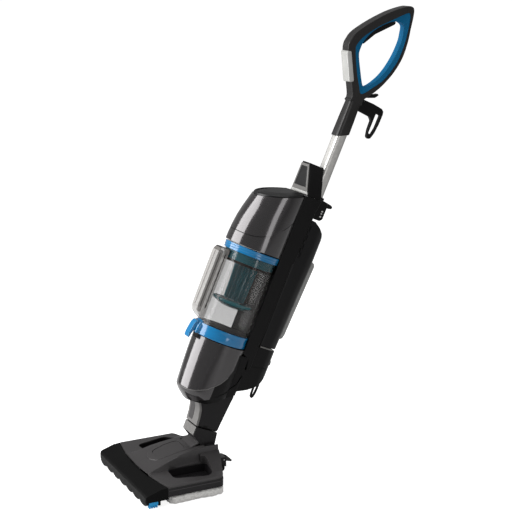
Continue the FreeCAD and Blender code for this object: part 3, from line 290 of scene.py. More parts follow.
class Bench:
    """Small set of modelling steps that every sub-assembly uses."""

    @staticmethod
    def pick(piece: bpy.types.Object) -> None:
        """Select one object only and make it active."""
        if bpy.context.object and bpy.context.object.mode != "OBJECT":
            bpy.ops.object.mode_set(mode="OBJECT")
        bpy.ops.object.select_all(action="DESELECT")
        piece.select_set(True)
        bpy.context.view_layer.objects.active = piece

    @staticmethod
    def loft(name: str, sections: list[Section], count: int = 64) -> bpy.types.Object:
        """Extrude a filled circle through a list of sections.

        Args:
            name: the piece's name.
            sections: the outlines, from first to last.
            count: points on each outline.

        Returns:
            The closed solid.
        """
        bpy.ops.object.select_all(action="DESELECT")
        bpy.ops.mesh.primitive_circle_add(vertices=count, radius=1, fill_type="NGON")
        piece = bpy.context.object
        piece.name = name
        piece.data.name = name
        bpy.ops.object.mode_set(mode="EDIT")
        mesh = bmesh.from_edit_mesh(piece.data)
        slot = mesh.verts.layers.int.new("slot")
        for number, vert in enumerate(mesh.verts):
            vert[slot] = number
            vert.co = sections[0].spot(number, count) * MM
        bmesh.update_edit_mesh(piece.data)
        for section in sections[1:]:
            bpy.ops.mesh.extrude_region_move()
            mesh = bmesh.from_edit_mesh(piece.data)
            slot = mesh.verts.layers.int["slot"]
            for vert in mesh.verts:
                if vert.select:
                    vert.co = section.spot(vert[slot], count) * MM
            bmesh.update_edit_mesh(piece.data)
        bpy.ops.mesh.select_all(action="SELECT")
        bpy.ops.mesh.normals_make_consistent(inside=False)
        bpy.ops.object.mode_set(mode="OBJECT")
        return piece

    @staticmethod
    def plate(name: str, outline: tuple[Pair, ...], half: float) -> bpy.types.Object:
        """Return a side-view outline extruded to both sides of the middle."""
        cuts = [SideCut(outline, -half), SideCut(outline, half)]
        return Bench.loft(name, cuts, len(outline))

    @staticmethod
    def slab(name: str, outline: tuple[Pair, ...], low: float, high: float) -> bpy.types.Object:
        """Return a plan outline extruded from one height to another."""
        return Bench.loft(name, [PlanCut(outline, low), PlanCut(outline, high)], len(outline))

    @staticmethod
    def block(name: str, low: Point, high: Point) -> bpy.types.Object:
        """Return a box between two corners given in millimetres."""
        low, high = Vector(low), Vector(high)
        bpy.ops.object.select_all(action="DESELECT")
        bpy.ops.mesh.primitive_cube_add(size=1, location=(low + high) / 2 * MM)
        piece = bpy.context.object
        piece.name = name
        piece.scale = (high - low) * MM
        bpy.ops.object.transform_apply(location=True, rotation=True, scale=True)
        return piece

    @staticmethod
    def drum(name: str, radius: float, start: Point, end: Point,
             sides: int = 48, end_radius: float | None = None) -> bpy.types.Object:
        """Return a round bar or cone between two points given in millimetres."""
        start, end = Vector(start), Vector(end)
        bpy.ops.object.select_all(action="DESELECT")
        far = radius if end_radius is None else end_radius
        axis = end - start
        bpy.ops.mesh.primitive_cone_add(vertices=sides, radius1=radius * MM, radius2=far * MM,
                                        depth=axis.length * MM, location=(0, 0, 0))
        piece = bpy.context.object
        piece.name = name
        turn = Vector((0, 0, 1)).rotation_difference(axis.normalized())
        piece.rotation_mode = "QUATERNION"
        piece.rotation_quaternion = turn
        piece.location = (start + end) / 2 * MM
        bpy.ops.object.transform_apply(location=True, rotation=True, scale=True)
        return piece

    @staticmethod
    def mix(piece: bpy.types.Object, other: bpy.types.Object, how: str) -> bpy.types.Object:
        """Apply a boolean of piece with other, and remove other.

        Args:
            piece: the object that stays.
            other: the tool object.
            how: UNION, DIFFERENCE or INTERSECT.

        Returns:
            The piece.
        """
        Bench.pick(piece)
        change = piece.modifiers.new("mix", "BOOLEAN")
        change.operation = how
        change.object = other
        change.solver = "EXACT"
        bpy.ops.object.modifier_apply(modifier=change.name)
        bpy.data.objects.remove(other)
        return piece

    @staticmethod
    def cut(piece: bpy.types.Object, tool: bpy.types.Object) -> bpy.types.Object:
        """Take the tool out of the piece."""
        return Bench.mix(piece, tool, "DIFFERENCE")

    @staticmethod
    def keep(piece: bpy.types.Object, tool: bpy.types.Object) -> bpy.types.Object:
        """Leave only what the tool covers."""
        return Bench.mix(piece, tool, "INTERSECT")

    @staticmethod
    def add(piece: bpy.types.Object, tool: bpy.types.Object) -> bpy.types.Object:
        """Grow the tool onto the piece."""
        return Bench.mix(piece, tool, "UNION")

    @staticmethod
    def soften(piece: bpy.types.Object, width: float, segments: int = 3,
               angle: float = 32.0) -> bpy.types.Object:
        """Round every edge sharper than the angle, by a width in millimetres."""
        Bench.pick(piece)
        bpy.ops.object.mode_set(mode="EDIT")
        bpy.ops.mesh.select_all(action="SELECT")
        bpy.ops.mesh.remove_doubles(threshold=0.00004)
        bpy.ops.mesh.dissolve_degenerate(threshold=0.00002)
        bpy.ops.object.mode_set(mode="OBJECT")
        change = piece.modifiers.new("soften", "BEVEL")
        change.width = width * MM
        change.segments = segments
        change.limit_method = "ANGLE"
        change.angle_limit = math.radians(angle)
        change.miter_outer = "MITER_ARC"
        bpy.ops.object.modifier_apply(modifier=change.name)
        return piece

    @staticmethod
    def copy(piece: bpy.types.Object, name: str) -> bpy.types.Object:
        """Return a copy of an object with its own mesh."""
        twin = piece.copy()
        twin.data = piece.data.copy()
        twin.name = name
        bpy.context.collection.objects.link(twin)
        return twin

    @staticmethod
    def join(pieces: list[bpy.types.Object], name: str) -> bpy.types.Object:
        """Join several objects into one mesh."""
        Bench.pick(pieces[0])
        for piece in pieces[1:]:
            piece.select_set(True)
        if len(pieces) > 1:
            bpy.ops.object.join()
        joined = bpy.context.object
        joined.name = name
        return joined

    @staticmethod
    def smooth(piece: bpy.types.Object, angle: float = 34.0, weighted: bool = True) -> None:
        """Shade smooth up to an angle and even out the normals."""
        Bench.pick(piece)
        bpy.ops.object.mode_set(mode="EDIT")
        bpy.ops.mesh.select_all(action="SELECT")
        bpy.ops.mesh.normals_make_consistent(inside=False)
        bpy.ops.object.mode_set(mode="OBJECT")
        bpy.ops.object.shade_smooth_by_angle(angle=math.radians(angle))
        if weighted:
            change = piece.modifiers.new("even", "WEIGHTED_NORMAL")
            change.keep_sharp = True
            change.weight = 60
            bpy.ops.object.modifier_apply(modifier=change.name)

    @staticmethod
    def settle(piece: bpy.types.Object, place: Place) -> None:
        """Move a finished mesh from its own frame to the row frame."""
        Bench.pick(piece)
        piece.rotation_mode = "XYZ"
        piece.rotation_euler = (-place.lean, 0, 0)
        piece.location = place.origin
        bpy.ops.object.transform_apply(location=True, rotation=True, scale=True)


# ------------------------------------------------------------------ finishes

class Tree:
    """Short way to add and join shader nodes."""

    def __init__(self, tree: bpy.types.NodeTree) -> None:
        """Keep the tree."""
        self.tree = tree

    def add(self, kind: str, **values: object) -> bpy.types.Node:
        """Add a node and set its input values by name, with spaces as underscores."""
        node = self.tree.nodes.new(kind)
        for key, value in values.items():
            socket = node.inputs.get(key.replace("_", " "))
            if socket is not None:
                socket.default_value = value
            else:
                setattr(node, key, value)
        return node

    def join(self, source: bpy.types.NodeSocket, target: bpy.types.NodeSocket) -> None:
        """Link two sockets."""
        self.tree.links.new(source, target)


def new_group(name: str, inputs: dict[str, tuple[str, object]],
              outputs: dict[str, str]) -> tuple[Tree, bpy.types.Node, bpy.types.Node]:
    """Start a shader node group with named sockets.

    Args:
        name: the group's name.
        inputs: socket name to socket type and default value.
        outputs: socket name to socket type.

    Returns:
        The tree, its input node and its output node.
    """
    group = bpy.data.node_groups.new(name, "ShaderNodeTree")
    for key, (kind, value) in inputs.items():
        socket = group.interface.new_socket(key, in_out="INPUT", socket_type=kind)
        if value is not None:
            socket.default_value = value
    for key, kind in outputs.items():
        group.interface.new_socket(key, in_out="OUTPUT", socket_type=kind)
    tree = Tree(group)
    return tree, tree.add("NodeGroupInput"), tree.add("NodeGroupOutput")


class Effect(Enum):
    """Shared effects, each a node group that is built once."""

    GRAIN = "mould_grain"
    SMUDGE = "handling_smudge"
    RIBS = "fine_ribs"

    def group(self) -> bpy.types.NodeTree:
        """Return the node group, building it on first use."""
        found = bpy.data.node_groups.get(self.value)
        if found is None:
            {Effect.GRAIN: build_grain, Effect.SMUDGE: build_smudge,
             Effect.RIBS: build_ribs}[self]()
            found = bpy.data.node_groups[self.value]
        return found


def build_grain() -> None:
    """Fine moulded grain: a height, and a slow tone drift."""
    tree, source, sink = new_group(
        Effect.GRAIN.value,
        {"Vector": ("NodeSocketVector", None), "Scale": ("NodeSocketFloat", 900.0)},
        {"Height": "NodeSocketFloat", "Tone": "NodeSocketFloat"})
    fine = tree.add("ShaderNodeTexVoronoi", Randomness=1.0)
    slow = tree.add("ShaderNodeTexNoise", Scale=9.0, Detail=3.0)
    tree.join(source.outputs["Vector"], fine.inputs["Vector"])
    tree.join(source.outputs["Scale"], fine.inputs["Scale"])
    tree.join(source.outputs["Vector"], slow.inputs["Vector"])
    tree.join(fine.outputs["Distance"], sink.inputs["Height"])
    tree.join(slow.outputs["Fac"], sink.inputs["Tone"])


def build_smudge() -> None:
    """Soft smudges and fine scuffs, as one roughness mask."""
    tree, source, sink = new_group(
        Effect.SMUDGE.value,
        {"Vector": ("NodeSocketVector", None), "Amount": ("NodeSocketFloat", 0.5)},
        {"Mask": "NodeSocketFloat"})
    broad = tree.add("ShaderNodeTexNoise", Scale=22.0, Detail=5.0, Roughness=0.6)
    scuff = tree.add("ShaderNodeTexNoise", Scale=160.0, Detail=2.0, Distortion=1.5)
    ramp = tree.add("ShaderNodeMapRange", From_Min=0.45, From_Max=0.75)
    thin = tree.add("ShaderNodeMapRange", From_Min=0.6, From_Max=0.75)
    both = tree.add("ShaderNodeMath", operation="ADD", use_clamp=True)
    amount = tree.add("ShaderNodeMath", operation="MULTIPLY")
    for node in (broad, scuff):
        tree.join(source.outputs["Vector"], node.inputs["Vector"])
    tree.join(broad.outputs["Fac"], ramp.inputs["Value"])
    tree.join(scuff.outputs["Fac"], thin.inputs["Value"])
    tree.join(ramp.outputs["Result"], both.inputs[0])
    tree.join(thin.outputs["Result"], both.inputs[1])
    tree.join(both.outputs[0], amount.inputs[0])
    tree.join(source.outputs["Amount"], amount.inputs[1])
    tree.join(amount.outputs[0], sink.inputs["Mask"])


def build_ribs() -> None:
    """Fine parallel ribs across one axis of the vector."""
    tree, source, sink = new_group(
        Effect.RIBS.value,
        {"Vector": ("NodeSocketVector", None), "Scale": ("NodeSocketFloat", 300.0)},
        {"Height": "NodeSocketFloat"})
    wave = tree.add("ShaderNodeTexWave", wave_type="BANDS", bands_direction="Z")
    tree.join(source.outputs["Vector"], wave.inputs["Vector"])
    tree.join(source.outputs["Scale"], wave.inputs["Scale"])
    tree.join(wave.outputs["Fac"], sink.inputs["Height"])


def blank_material(name: str) -> tuple[bpy.types.Material, Tree, bpy.types.Node]:
    """Return a new material with its node tree and its shader."""
    material = bpy.data.materials.new(name)
    material.use_nodes = True
    return material, Tree(material.node_tree), material.node_tree.nodes["Principled BSDF"]


def paint(tree: Tree, shader: bpy.types.Node, tones: tuple[float, float],
          color: tuple[float, float, float], share: bpy.types.NodeSocket) -> None:
    """Join a base colour that wanders between its darker and its lighter tone."""
    dark, light = tones
    mixed = tree.add("ShaderNodeMix", data_type="RGBA")
    mixed.inputs[6].default_value = tuple(c * dark for c in color) + (1.0,)
    mixed.inputs[7].default_value = tuple(min(1.0, c * light) for c in color) + (1.0,)
    tree.join(share, mixed.inputs[0])
    tree.join(mixed.outputs[2], shader.inputs["Base Color"])


class Sheen(Enum):
    """How a moulded plastic is finished."""

    GLOSS = (0.16, 1.0)
    SATIN = (0.36, 0.05)
    MATTE = (0.55, 0.0)

    def roughness(self) -> float:
        """Return the base roughness."""
        return self.value[0]

    def coat(self) -> float:
        """Return the clear coat's weight."""
        return self.value[1]


@dataclass(frozen=True)
class Plastic:
    """Moulded plastic with grain, slow tone drift and handling smudges."""

    name: str
    color: tuple[float, float, float]
    sheen: Sheen
    grain: float = 0.10
    grain_scale: float = 1400.0
    metallic: float = 0.0
    alpha: float = 1.0
    transmission: float = 0.0
    ribs: float = 0.0
    drift: float = 0.25
    specular: float = 0.5
    wear: float = 0.5

    def build(self) -> bpy.types.Material:
        """Return the material, building it on first use."""
        found = bpy.data.materials.get(self.name)
        if found:
            return found
        material, tree, shader = blank_material(self.name)
        shader.inputs["Metallic"].default_value = self.metallic
        shader.inputs["Coat Weight"].default_value = self.sheen.coat()
        shader.inputs["Coat Roughness"].default_value = 0.06
        shader.inputs["Specular IOR Level"].default_value = self.specular
        shader.inputs["Alpha"].default_value = self.alpha
        shader.inputs["Transmission Weight"].default_value = self.transmission
        place = tree.add("ShaderNodeTexCoord").outputs["Object"]
        grain = tree.add("ShaderNodeGroup", node_tree=Effect.GRAIN.group())
        grain.inputs["Scale"].default_value = self.grain_scale
        smudge = tree.add("ShaderNodeGroup", node_tree=Effect.SMUDGE.group())
        smudge.inputs["Amount"].default_value = self.wear
        tree.join(place, grain.inputs["Vector"])
        tree.join(place, smudge.inputs["Vector"])
        paint(tree, shader, (1 - self.drift, 1 + self.drift), self.color, grain.outputs["Tone"])
        rough = tree.add("ShaderNodeMapRange", To_Min=self.sheen.roughness(),
                         To_Max=min(1.0, self.sheen.roughness() + 0.18))
        tree.join(smudge.outputs["Mask"], rough.inputs["Value"])
        tree.join(rough.outputs["Result"], shader.inputs["Roughness"])
        self._bump(tree, shader, grain, place)
        return material

    def _bump(self, tree: Tree, shader: bpy.types.Node, grain: bpy.types.Node,
              place: bpy.types.NodeSocket) -> None:
        """Join the grain, and ribs where the finish has them, to the normal."""
        bump = tree.add("ShaderNodeBump", Strength=self.grain, Distance=0.0002)
        tree.join(grain.outputs["Height"], bump.inputs["Height"])
        if self.ribs:
            ribs = tree.add("ShaderNodeGroup", node_tree=Effect.RIBS.group())
            ribs.inputs["Scale"].default_value = self.ribs
            tree.join(place, ribs.inputs["Vector"])
            wide = tree.add("ShaderNodeBump", Strength=0.6, Distance=0.0006)
            tree.join(ribs.outputs["Height"], wide.inputs["Height"])
            tree.join(wide.outputs["Normal"], bump.inputs["Normal"])
        tree.join(bump.outputs["Normal"], shader.inputs["Normal"])


@dataclass(frozen=True)
class Metal:
    """Satin or brushed metal with fine lengthwise lines."""

    name: str
    color: tuple[float, float, float]
    roughness: float = 0.3
    stretch: float = 40.0

    def build(self) -> bpy.types.Material:
        """Return the material, building it on first use."""
        found = bpy.data.materials.get(self.name)
        if found:
            return found
        material, tree, shader = blank_material(self.name)
        shader.inputs["Metallic"].default_value = 0.85
        place = tree.add("ShaderNodeTexCoord").outputs["Object"]
        mapping = tree.add("ShaderNodeMapping")
        mapping.inputs["Scale"].default_value = (self.stretch * 20, self.stretch, self.stretch)
        lines = tree.add("ShaderNodeTexNoise", Scale=3.0, Detail=4.0)
        tree.join(place, mapping.inputs["Vector"])
        tree.join(mapping.outputs["Vector"], lines.inputs["Vector"])
        paint(tree, shader, (0.85, 1.1), self.color, lines.outputs["Fac"])
        rough = tree.add("ShaderNodeMapRange", To_Min=self.roughness - 0.06,
                         To_Max=self.roughness + 0.1)
        tree.join(lines.outputs["Fac"], rough.inputs["Value"])
        tree.join(rough.outputs["Result"], shader.inputs["Roughness"])
        bump = tree.add("ShaderNodeBump", Strength=0.02, Distance=0.0002)
        tree.join(lines.outputs["Fac"], bump.inputs["Height"])
        tree.join(bump.outputs["Normal"], shader.inputs["Normal"])
        return material


@dataclass(frozen=True)
class Plush:
    """Looped microfibre: soft sheen, thread-scale colour and height."""

    name: str
    color: tuple[float, float, float]
    thread: float = 900.0

    def build(self) -> bpy.types.Material:
        """Return the material, building it on first use."""
        found = bpy.data.materials.get(self.name)
        if found:
            return found
        material, tree, shader = blank_material(self.name)
        shader.inputs["Sheen Weight"].default_value = 0.5
        shader.inputs["Sheen Roughness"].default_value = 0.6
        shader.inputs["Roughness"].default_value = 0.95
        place = tree.add("ShaderNodeTexCoord").outputs["Object"]
        fibre = tree.add("ShaderNodeTexNoise", Scale=self.thread, Detail=3.0)
        clump = tree.add("ShaderNodeTexNoise", Scale=120.0, Detail=3.0)
        for node in (fibre, clump):
            tree.join(place, node.inputs["Vector"])
        paint(tree, shader, (0.8, 1.1), self.color, clump.outputs["Fac"])
        bump = tree.add("ShaderNodeBump", Strength=0.7, Distance=0.0006)
        tree.join(fibre.outputs["Fac"], bump.inputs["Height"])
        tree.join(bump.outputs["Normal"], shader.inputs["Normal"])
        return material


Finish = Plastic | Metal | Plush


class Finishes:
    """Every finish of the machine, named for where it goes."""

    CHARCOAL = Plastic("charcoal_gloss_finish", (0.060, 0.056, 0.058), Sheen.GLOSS,
                       grain=0.02, grain_scale=2600, metallic=0.8, drift=0.06)
    BLACK = Plastic("black_plastic_finish", (0.0045, 0.0043, 0.0045), Sheen.SATIN, grain=0.12,
                    specular=0.14)
    GLOSS_BLACK = Plastic("black_gloss_finish", (0.004, 0.004, 0.0045), Sheen.SATIN, grain=0.02,
                          specular=0.3)
    HEAD_DARK = Plastic("head_dark_finish", (0.016, 0.015, 0.016), Sheen.SATIN, grain=0.10,
                        specular=0.2)
    STRIP_BLACK = Plastic("front_strip_finish", (0.003, 0.003, 0.003), Sheen.SATIN, grain=0.08,
                          specular=0.05)
    HANDLE = Plastic("handle_finish", (0.022, 0.021, 0.021), Sheen.SATIN, grain=0.10,
                     metallic=0.3, specular=0.4)
    HEAD_GREY = Plastic("head_grey_finish", (0.055, 0.052, 0.053), Sheen.SATIN, grain=0.05,
                        metallic=0.4, drift=0.08, specular=0.4)
    NECK_GREY = Plastic("neck_grey_finish", (0.17, 0.165, 0.16), Sheen.SATIN, grain=0.05,
                        metallic=0.2, drift=0.06)
    NECK_DARK = Plastic("neck_dark_finish", (0.012, 0.011, 0.012), Sheen.SATIN, grain=0.08,
                        specular=0.2)
    BLUE = Plastic("bright_blue_finish", (0.0, 0.17, 0.40), Sheen.GLOSS, grain=0.02, drift=0.08,
                   specular=0.3)
    LINER = Plastic("liner_blue_finish", (0.0, 0.12, 0.27), Sheen.MATTE, grain=0.10, drift=0.1,
                    specular=0.15)
    SOFT_BLUE = Plastic("strip_blue_finish", (0.01, 0.34, 0.72), Sheen.MATTE, grain=0.15)
    TEAL = Plastic("teal_finish", (0.0, 0.14, 0.18), Sheen.GLOSS, grain=0.02, drift=0.2,
                   specular=0.3)
    TEAL_CLEAR = Plastic("teal_clear_finish", (0.0, 0.24, 0.29), Sheen.GLOSS, grain=0.02,
                         alpha=0.85)
    CLEAR = Plastic("clear_tank_finish", (0.05, 0.047, 0.044), Sheen.GLOSS, grain=0.002,
                    grain_scale=60, alpha=0.24, drift=0.05, specular=0.2, wear=0.02)
    GRIP = Plastic("clear_grip_finish", (0.34, 0.32, 0.30), Sheen.GLOSS, grain=0.01,
                   alpha=0.5, drift=0.08, wear=0.1)
    SMOKE = Plastic("smoke_tank_finish", (0.005, 0.005, 0.0055), Sheen.SATIN, grain=0.08,
                    specular=0.18)
    WINDOW = Plastic("level_window_finish", (0.36, 0.36, 0.35), Sheen.GLOSS, grain=0.03,
                     alpha=0.85, ribs=600.0, drift=0.1)
    SILVER = Plastic("silver_panel_finish", (0.60, 0.60, 0.58), Sheen.SATIN, grain=0.04,
                     metallic=0.5, drift=0.06)
    RUBBER = Plastic("black_rubber_finish", (0.006, 0.006, 0.006), Sheen.MATTE, grain=0.25,
                     specular=0.15)
    MARK = Plastic("pale_mark_finish", (0.62, 0.62, 0.60), Sheen.SATIN, grain=0.02)
    TUBE = Metal("silver_tube_finish", (0.62, 0.61, 0.59), 0.42)
    STEEL = Metal("steel_finish", (0.55, 0.55, 0.56), 0.25)
    FOAM = Plush("filter_foam_finish", (0.10, 0.10, 0.10), 500.0)
    PAD = Plush("mop_plush_finish", (0.88, 0.865, 0.84), 1300.0)


def dress(piece: bpy.types.Object, finish: Finish) -> None:
    """Give a whole object one finish."""
    piece.data.materials.clear()
    piece.data.materials.append(finish.build())


# ------------------------------------------------------------------ pieces

@dataclass
class Assembly:
    """Base of the sub-assemblies: where they sit and how a piece is handed over."""

    frame: dict
    place: Place
    made: list[str] = field(default_factory=list, init=False)

    def hand_over(self, piece: bpy.types.Object, finish: Finish, body: str,
                  nodes: tuple[str, ...] = (), angle: float = 34.0,
                  weighted: bool = True) -> bpy.types.Object:
        """Shade, dress and place a piece, and hang it on its body.

        Args:
            piece: the modelled object, in this assembly's frame.
            finish: its finish.
            body: the body that it rides on.
            nodes: the frame's nodes that it stands for.
            angle: edges sharper than this stay sharp.
            weighted: whether normals are evened out.

        Returns:
            The piece.
        """
        dress(piece, finish)
        Bench.smooth(piece, angle, weighted)
        Bench.settle(piece, self.place)
        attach(piece, body)
        if nodes:
            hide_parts(*nodes)
        self.made.append(piece.name)
        LOG.info("%s rides on %s", piece.name, body)
        return piece

    def refit(self, node: str, finish: Finish, body: str, soften: float = 0.5) -> None:
        """Stand a softened copy of a frame node in for the node.

        Args:
            node: the frame's node.
            finish: its finish.
            body: the body that it rides on.
            soften: edge rounding in millimetres.
        """
        twin = Bench.copy(self.frame["nodes"][node], node + "_finished")
        twin.parent = None
        Bench.pick(twin)
        bpy.ops.object.mode_set(mode="EDIT")
        bpy.ops.mesh.select_all(action="SELECT")
        bpy.ops.mesh.remove_doubles(threshold=0.00002)
        bpy.ops.mesh.customdata_custom_splitnormals_clear()
        bpy.ops.mesh.dissolve_limited(angle_limit=math.radians(3))
        bpy.ops.object.mode_set(mode="OBJECT")
        Bench.soften(twin, soften, 2, 38)
        dress(twin, finish)
        Bench.smooth(twin, 38)
        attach(twin, body)
        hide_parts(node)
        self.made.append(twin.name)
        LOG.info("%s stands for its node on %s", twin.name, body)


def dress_frame(frame: dict) -> None:
    """Give every frame node a procedural finish of its record slot."""
    chosen = {
        "charcoal_gloss": Finishes.CHARCOAL, "black_plastic": Finishes.BLACK,
        "dark_grey_plastic": Finishes.HEAD_DARK, "mid_grey_plastic": Finishes.HEAD_GREY,
        "light_grey_plastic": Finishes.NECK_GREY, "bright_blue_plastic": Finishes.BLUE,
        "soft_blue_rubber": Finishes.SOFT_BLUE, "teal_plastic": Finishes.TEAL,
        "clear_tank": Finishes.CLEAR, "smoke_tank": Finishes.SMOKE,
        "silver_tube": Finishes.TUBE, "silver_panel": Finishes.SILVER,
        "soft_black": Finishes.RUBBER, "steel": Finishes.STEEL,
        "boiler_metal": Finishes.STEEL, "motor_metal": Finishes.STEEL,
        "foam": Finishes.FOAM, "microfibre": Finishes.PAD}
    for part in frame["record"]["subparts"]:
        dress(frame["nodes"][part["node"]], chosen[part["material_slot"]])


# ------------------------------------------------------------------ floor head

@dataclass
class FloorHead(Assembly):
    """Nozzle strip, cover with its hump, base, lip and pedal."""

    half: float = 148.0
    rim: float = 46.4
    low: float = 40.4
    strip_half: float = 150.0
    front: float = -208.0
    strip_rear: float = -155.0
    bow: float = 17.0
    wall: float = 2.6

    def build(self) -> None:
        """Model every visible piece of the head."""
        self.cover()
        self.wells()
        self.panel()
        self.nozzle()
        self.lip()
        self.base()
        self.tabs()
        self.rear_parts()

    def hump_cut(self, y: float, half: float, top: float, drop: float = 0.0) -> FrontCut:
        """Return the cover's section at one y.

        Args:
            y: where the section stands.
            half: half width of the crest.
            top: height of the crest.
            drop: wall taken off, for the inside.

        Returns:
            The section.
        """
        rise = max(1.0, top - self.rim)
        side = self.half - drop
        rim = self.rim - drop
        low = self.low - (4 if drop else 0)
        half = half - drop
        right = [(side, low), (side, rim - 2.5), (side - 2.5, rim), (half + 6, rim),
                 (half + 4.2, rim + rise * 0.2), (half + 2.6, rim + rise * 0.55),
                 (half + 1.0, rim + rise * 0.89), (half - 1.2, rim + rise * 0.97),
                 (half * 0.72, rim + rise * 0.99), (half * 0.36, rim + rise)]
        return FrontCut(tuple(mirrored(right)), y)

    def hump_form(self, drop: float) -> bpy.types.Object:
        """Return the solid under the cover's skin."""
        stations = [(-174, 66, 47.5), (-158, 63, 51.0), (-138, 59, 57.5), (-115, 55, 65.0),
                    (-90, 51, 71.0), (-65, 48, 75.2), (-38, 46, 78.0), (-12, 44, 79.2),
                    (18, 43, 79.0)]
        cuts = [self.hump_cut(y, half, top, drop) for y, half, top in stations]
        if drop:
            cuts[-1] = self.hump_cut(18 - drop, 43, 79.0, drop)
        return Bench.loft("head_cover_skin", cuts, 20)

    def outline(self, inset: float) -> tuple[Pair, ...]:
        """Return the plan of the head behind the strip."""
        side = self.half - inset
        points = [(side, -174), (side, -18 - inset), (68 - inset, 12 - inset),
                  (46 - inset, 18 - inset), (inset - 46, 18 - inset), (inset - 68, 12 - inset),
                  (-side, -18 - inset), (-side, -174)]
        return rounded_corners(points, 14.0)

    def strip_outline(self, grow: float) -> tuple[Pair, ...]:
        """Return the plan of the front strip, with its bowed rear border."""
        half = self.strip_half + grow
        points = [(half, self.strip_rear + grow)]
        for step in range(1, 24):
            share = step / 24
            sink = self.bow * (1 - (2 * share - 1) ** 2)
            points.append((half * (1 - 2 * share), self.strip_rear + grow - sink))
        points.append((-half, self.strip_rear + grow))
        corner = 7.0
        for middle, start in ((corner - half, math.pi), (half - corner, 1.5 * math.pi)):
            for step in range(5):
                turn = start + math.pi / 2 * step / 4
                points.append((middle + corner * math.cos(turn),
                               self.front - grow + corner + corner * math.sin(turn)))
        return tuple(points)

    def window_outline(self, side: int, grow: float) -> tuple[Pair, ...]:
        """Return the plan of one window in the cover."""
        points = [(58 - grow, -120 - grow), (112 + grow, -125 - grow),
                  (133 + grow, -46 + grow), (116 + grow, -30 + grow), (58 - grow, -20 + grow)]
        return rounded_corners([(side * x, y) for x, y in points], 13.0)

    def cover(self) -> None:
        """Grey cover: hollow skin, two windows, and a slot for the knuckle."""
        skin = self.hump_form(0.0)
        Bench.add(skin, self.crest())
        Bench.add(skin, self.shoulder())
        Bench.keep(skin, Bench.slab("plan", self.outline(0), 30, 99))
        Bench.cut(skin, Bench.slab("strip", self.strip_outline(0.5), 20, 99))
        for side in (-1, 1):
            Bench.cut(skin, Bench.slab("window", self.window_outline(side, 0), 20, 99))
        Bench.cut(skin, Bench.slab("seat", self.panel_outline(0.6), 20, 110))
        Bench.cut(skin, self.hump_form(self.wall))
        slot = rounded_corners([(-41, -15), (41, -15), (41, 30), (-41, 30)], 3)
        Bench.cut(skin, Bench.slab("slot", slot, 30, 99))
        throat = rounded_corners([(-31.4, -49), (31.4, -49), (31.4, 30), (-31.4, 30)], 6)
        Bench.cut(skin, Bench.slab("throat", throat, 30, 99))
        Bench.soften(skin, 1.1, 3, 40)
        self.hand_over(skin, Finishes.HEAD_GREY, "floor_head", ("head_cover",), 40)

    def shoulder(self) -> bpy.types.Object:
        """Raised rear wall of the windows, falling from the hump to the sides."""
        right = [(126, 40), (126, 45), (102, 50.5), (72, 58.5), (45, 67)]
        outline = tuple(mirrored(right))
        return Bench.loft("shoulder", [FrontCut(outline, -33), FrontCut(outline, 18)], 10)

    def crest(self) -> bpy.types.Object:
        """Raised field on the hump, round the inset panel."""
        cuts = []
        for y, half, top in [(-141, 10, 58.2), (-134, 26, 60.9), (-120, 34, 65.2),
                             (-90, 36, 72.9), (-65, 36, 76.8), (-45, 35, 78.9),
                             (-30, 30, 79.2)]:
            right = [(half, 50), (half, top - 3), (half - 2, top - 0.6), (half * 0.5, top)]
            cuts.append(FrontCut(tuple(mirrored(right)), y))
        return Bench.loft("crest", cuts, 8)

    def panel_outline(self, grow: float) -> tuple[Pair, ...]:
        """Return the plan of the inset panel on the hump."""
        points = [(-22 - grow, -126 - grow), (22 + grow, -126 - grow), (27 + grow, -92),
                  (26 + grow, -58 + grow), (-26 - grow, -58 + grow), (-27 - grow, -92)]
        return rounded_corners(points, 13.0)

    def panel(self) -> None:
        """Smooth plate let into the crest."""
        plate = Bench.slab("hump_panel_plate", self.panel_outline(0), 20, 110)
        cuts = []
        for y, top in [(-135, 59.0), (-120, 64.2), (-90, 71.9), (-65, 75.8), (-50, 77.4)]:
            cuts.append(FrontCut(((40, top - 3), (40, top), (-40, top), (-40, top - 3)), y))
        Bench.keep(plate, Bench.loft("bend", cuts, 4))
        Bench.soften(plate, 0.7, 2, 40)
        self.hand_over(plate, Finishes.HEAD_GREY, "floor_head", ("hump_panel",), 40)

    def wells(self) -> None:
        """Walls down from each window, and a ribbed mat at the bottom."""
        for side in (-1, 1):
            wall = Bench.slab("well", self.window_outline(side, 1.6), 24.4, 43.6)
            Bench.cut(wall, Bench.slab("hole", self.window_outline(side, 0), 20, 50))
            self.hand_over(wall, Finishes.NECK_DARK, "floor_head")
            ribs = []
            for number in range(28):
                x = side * (57 + number * 2.8)
                ribs.append(Bench.block("rib", (x - 0.7, -128, 24.2), (x + 0.7, -16, 26.4)))
            mat = Bench.join(ribs, "window_mat")
            plate = Bench.block("plate", (-140, -128, 23.9), (140, -16, 25.2))
            Bench.add(mat, plate)
            Bench.keep(mat, Bench.slab("edge", self.window_outline(side, -1.5), 20, 50))
            self.hand_over(mat, Finishes.HEAD_DARK, "floor_head")

    def nozzle(self) -> None:
        """Dark front strip, open below."""
        body = Bench.slab("nozzle_strip", self.strip_outline(0), 16, 60)
        side = [(-215, 16), (-208, 16), (-208, 27), (-205, 31), (-200, 33.5), (-172, 42.5),
                (-155, 44.2), (-150, 44.2), (-150, 10), (-215, 10)]
        Bench.keep(body, Bench.plate("cut", tuple(side), 160))
        slot = Bench.block("slot", (-132, -200, 0), (132, -178, 29))
        Bench.cut(body, slot)
        throat = Bench.block("throat", (-20, -179, 26.6), (20, -140, 29))
        Bench.cut(body, throat)
        Bench.soften(body, 1.3, 3, 30)
        self.hand_over(body, Finishes.STRIP_BLACK, "floor_head", ("nozzle_housing",), 36)

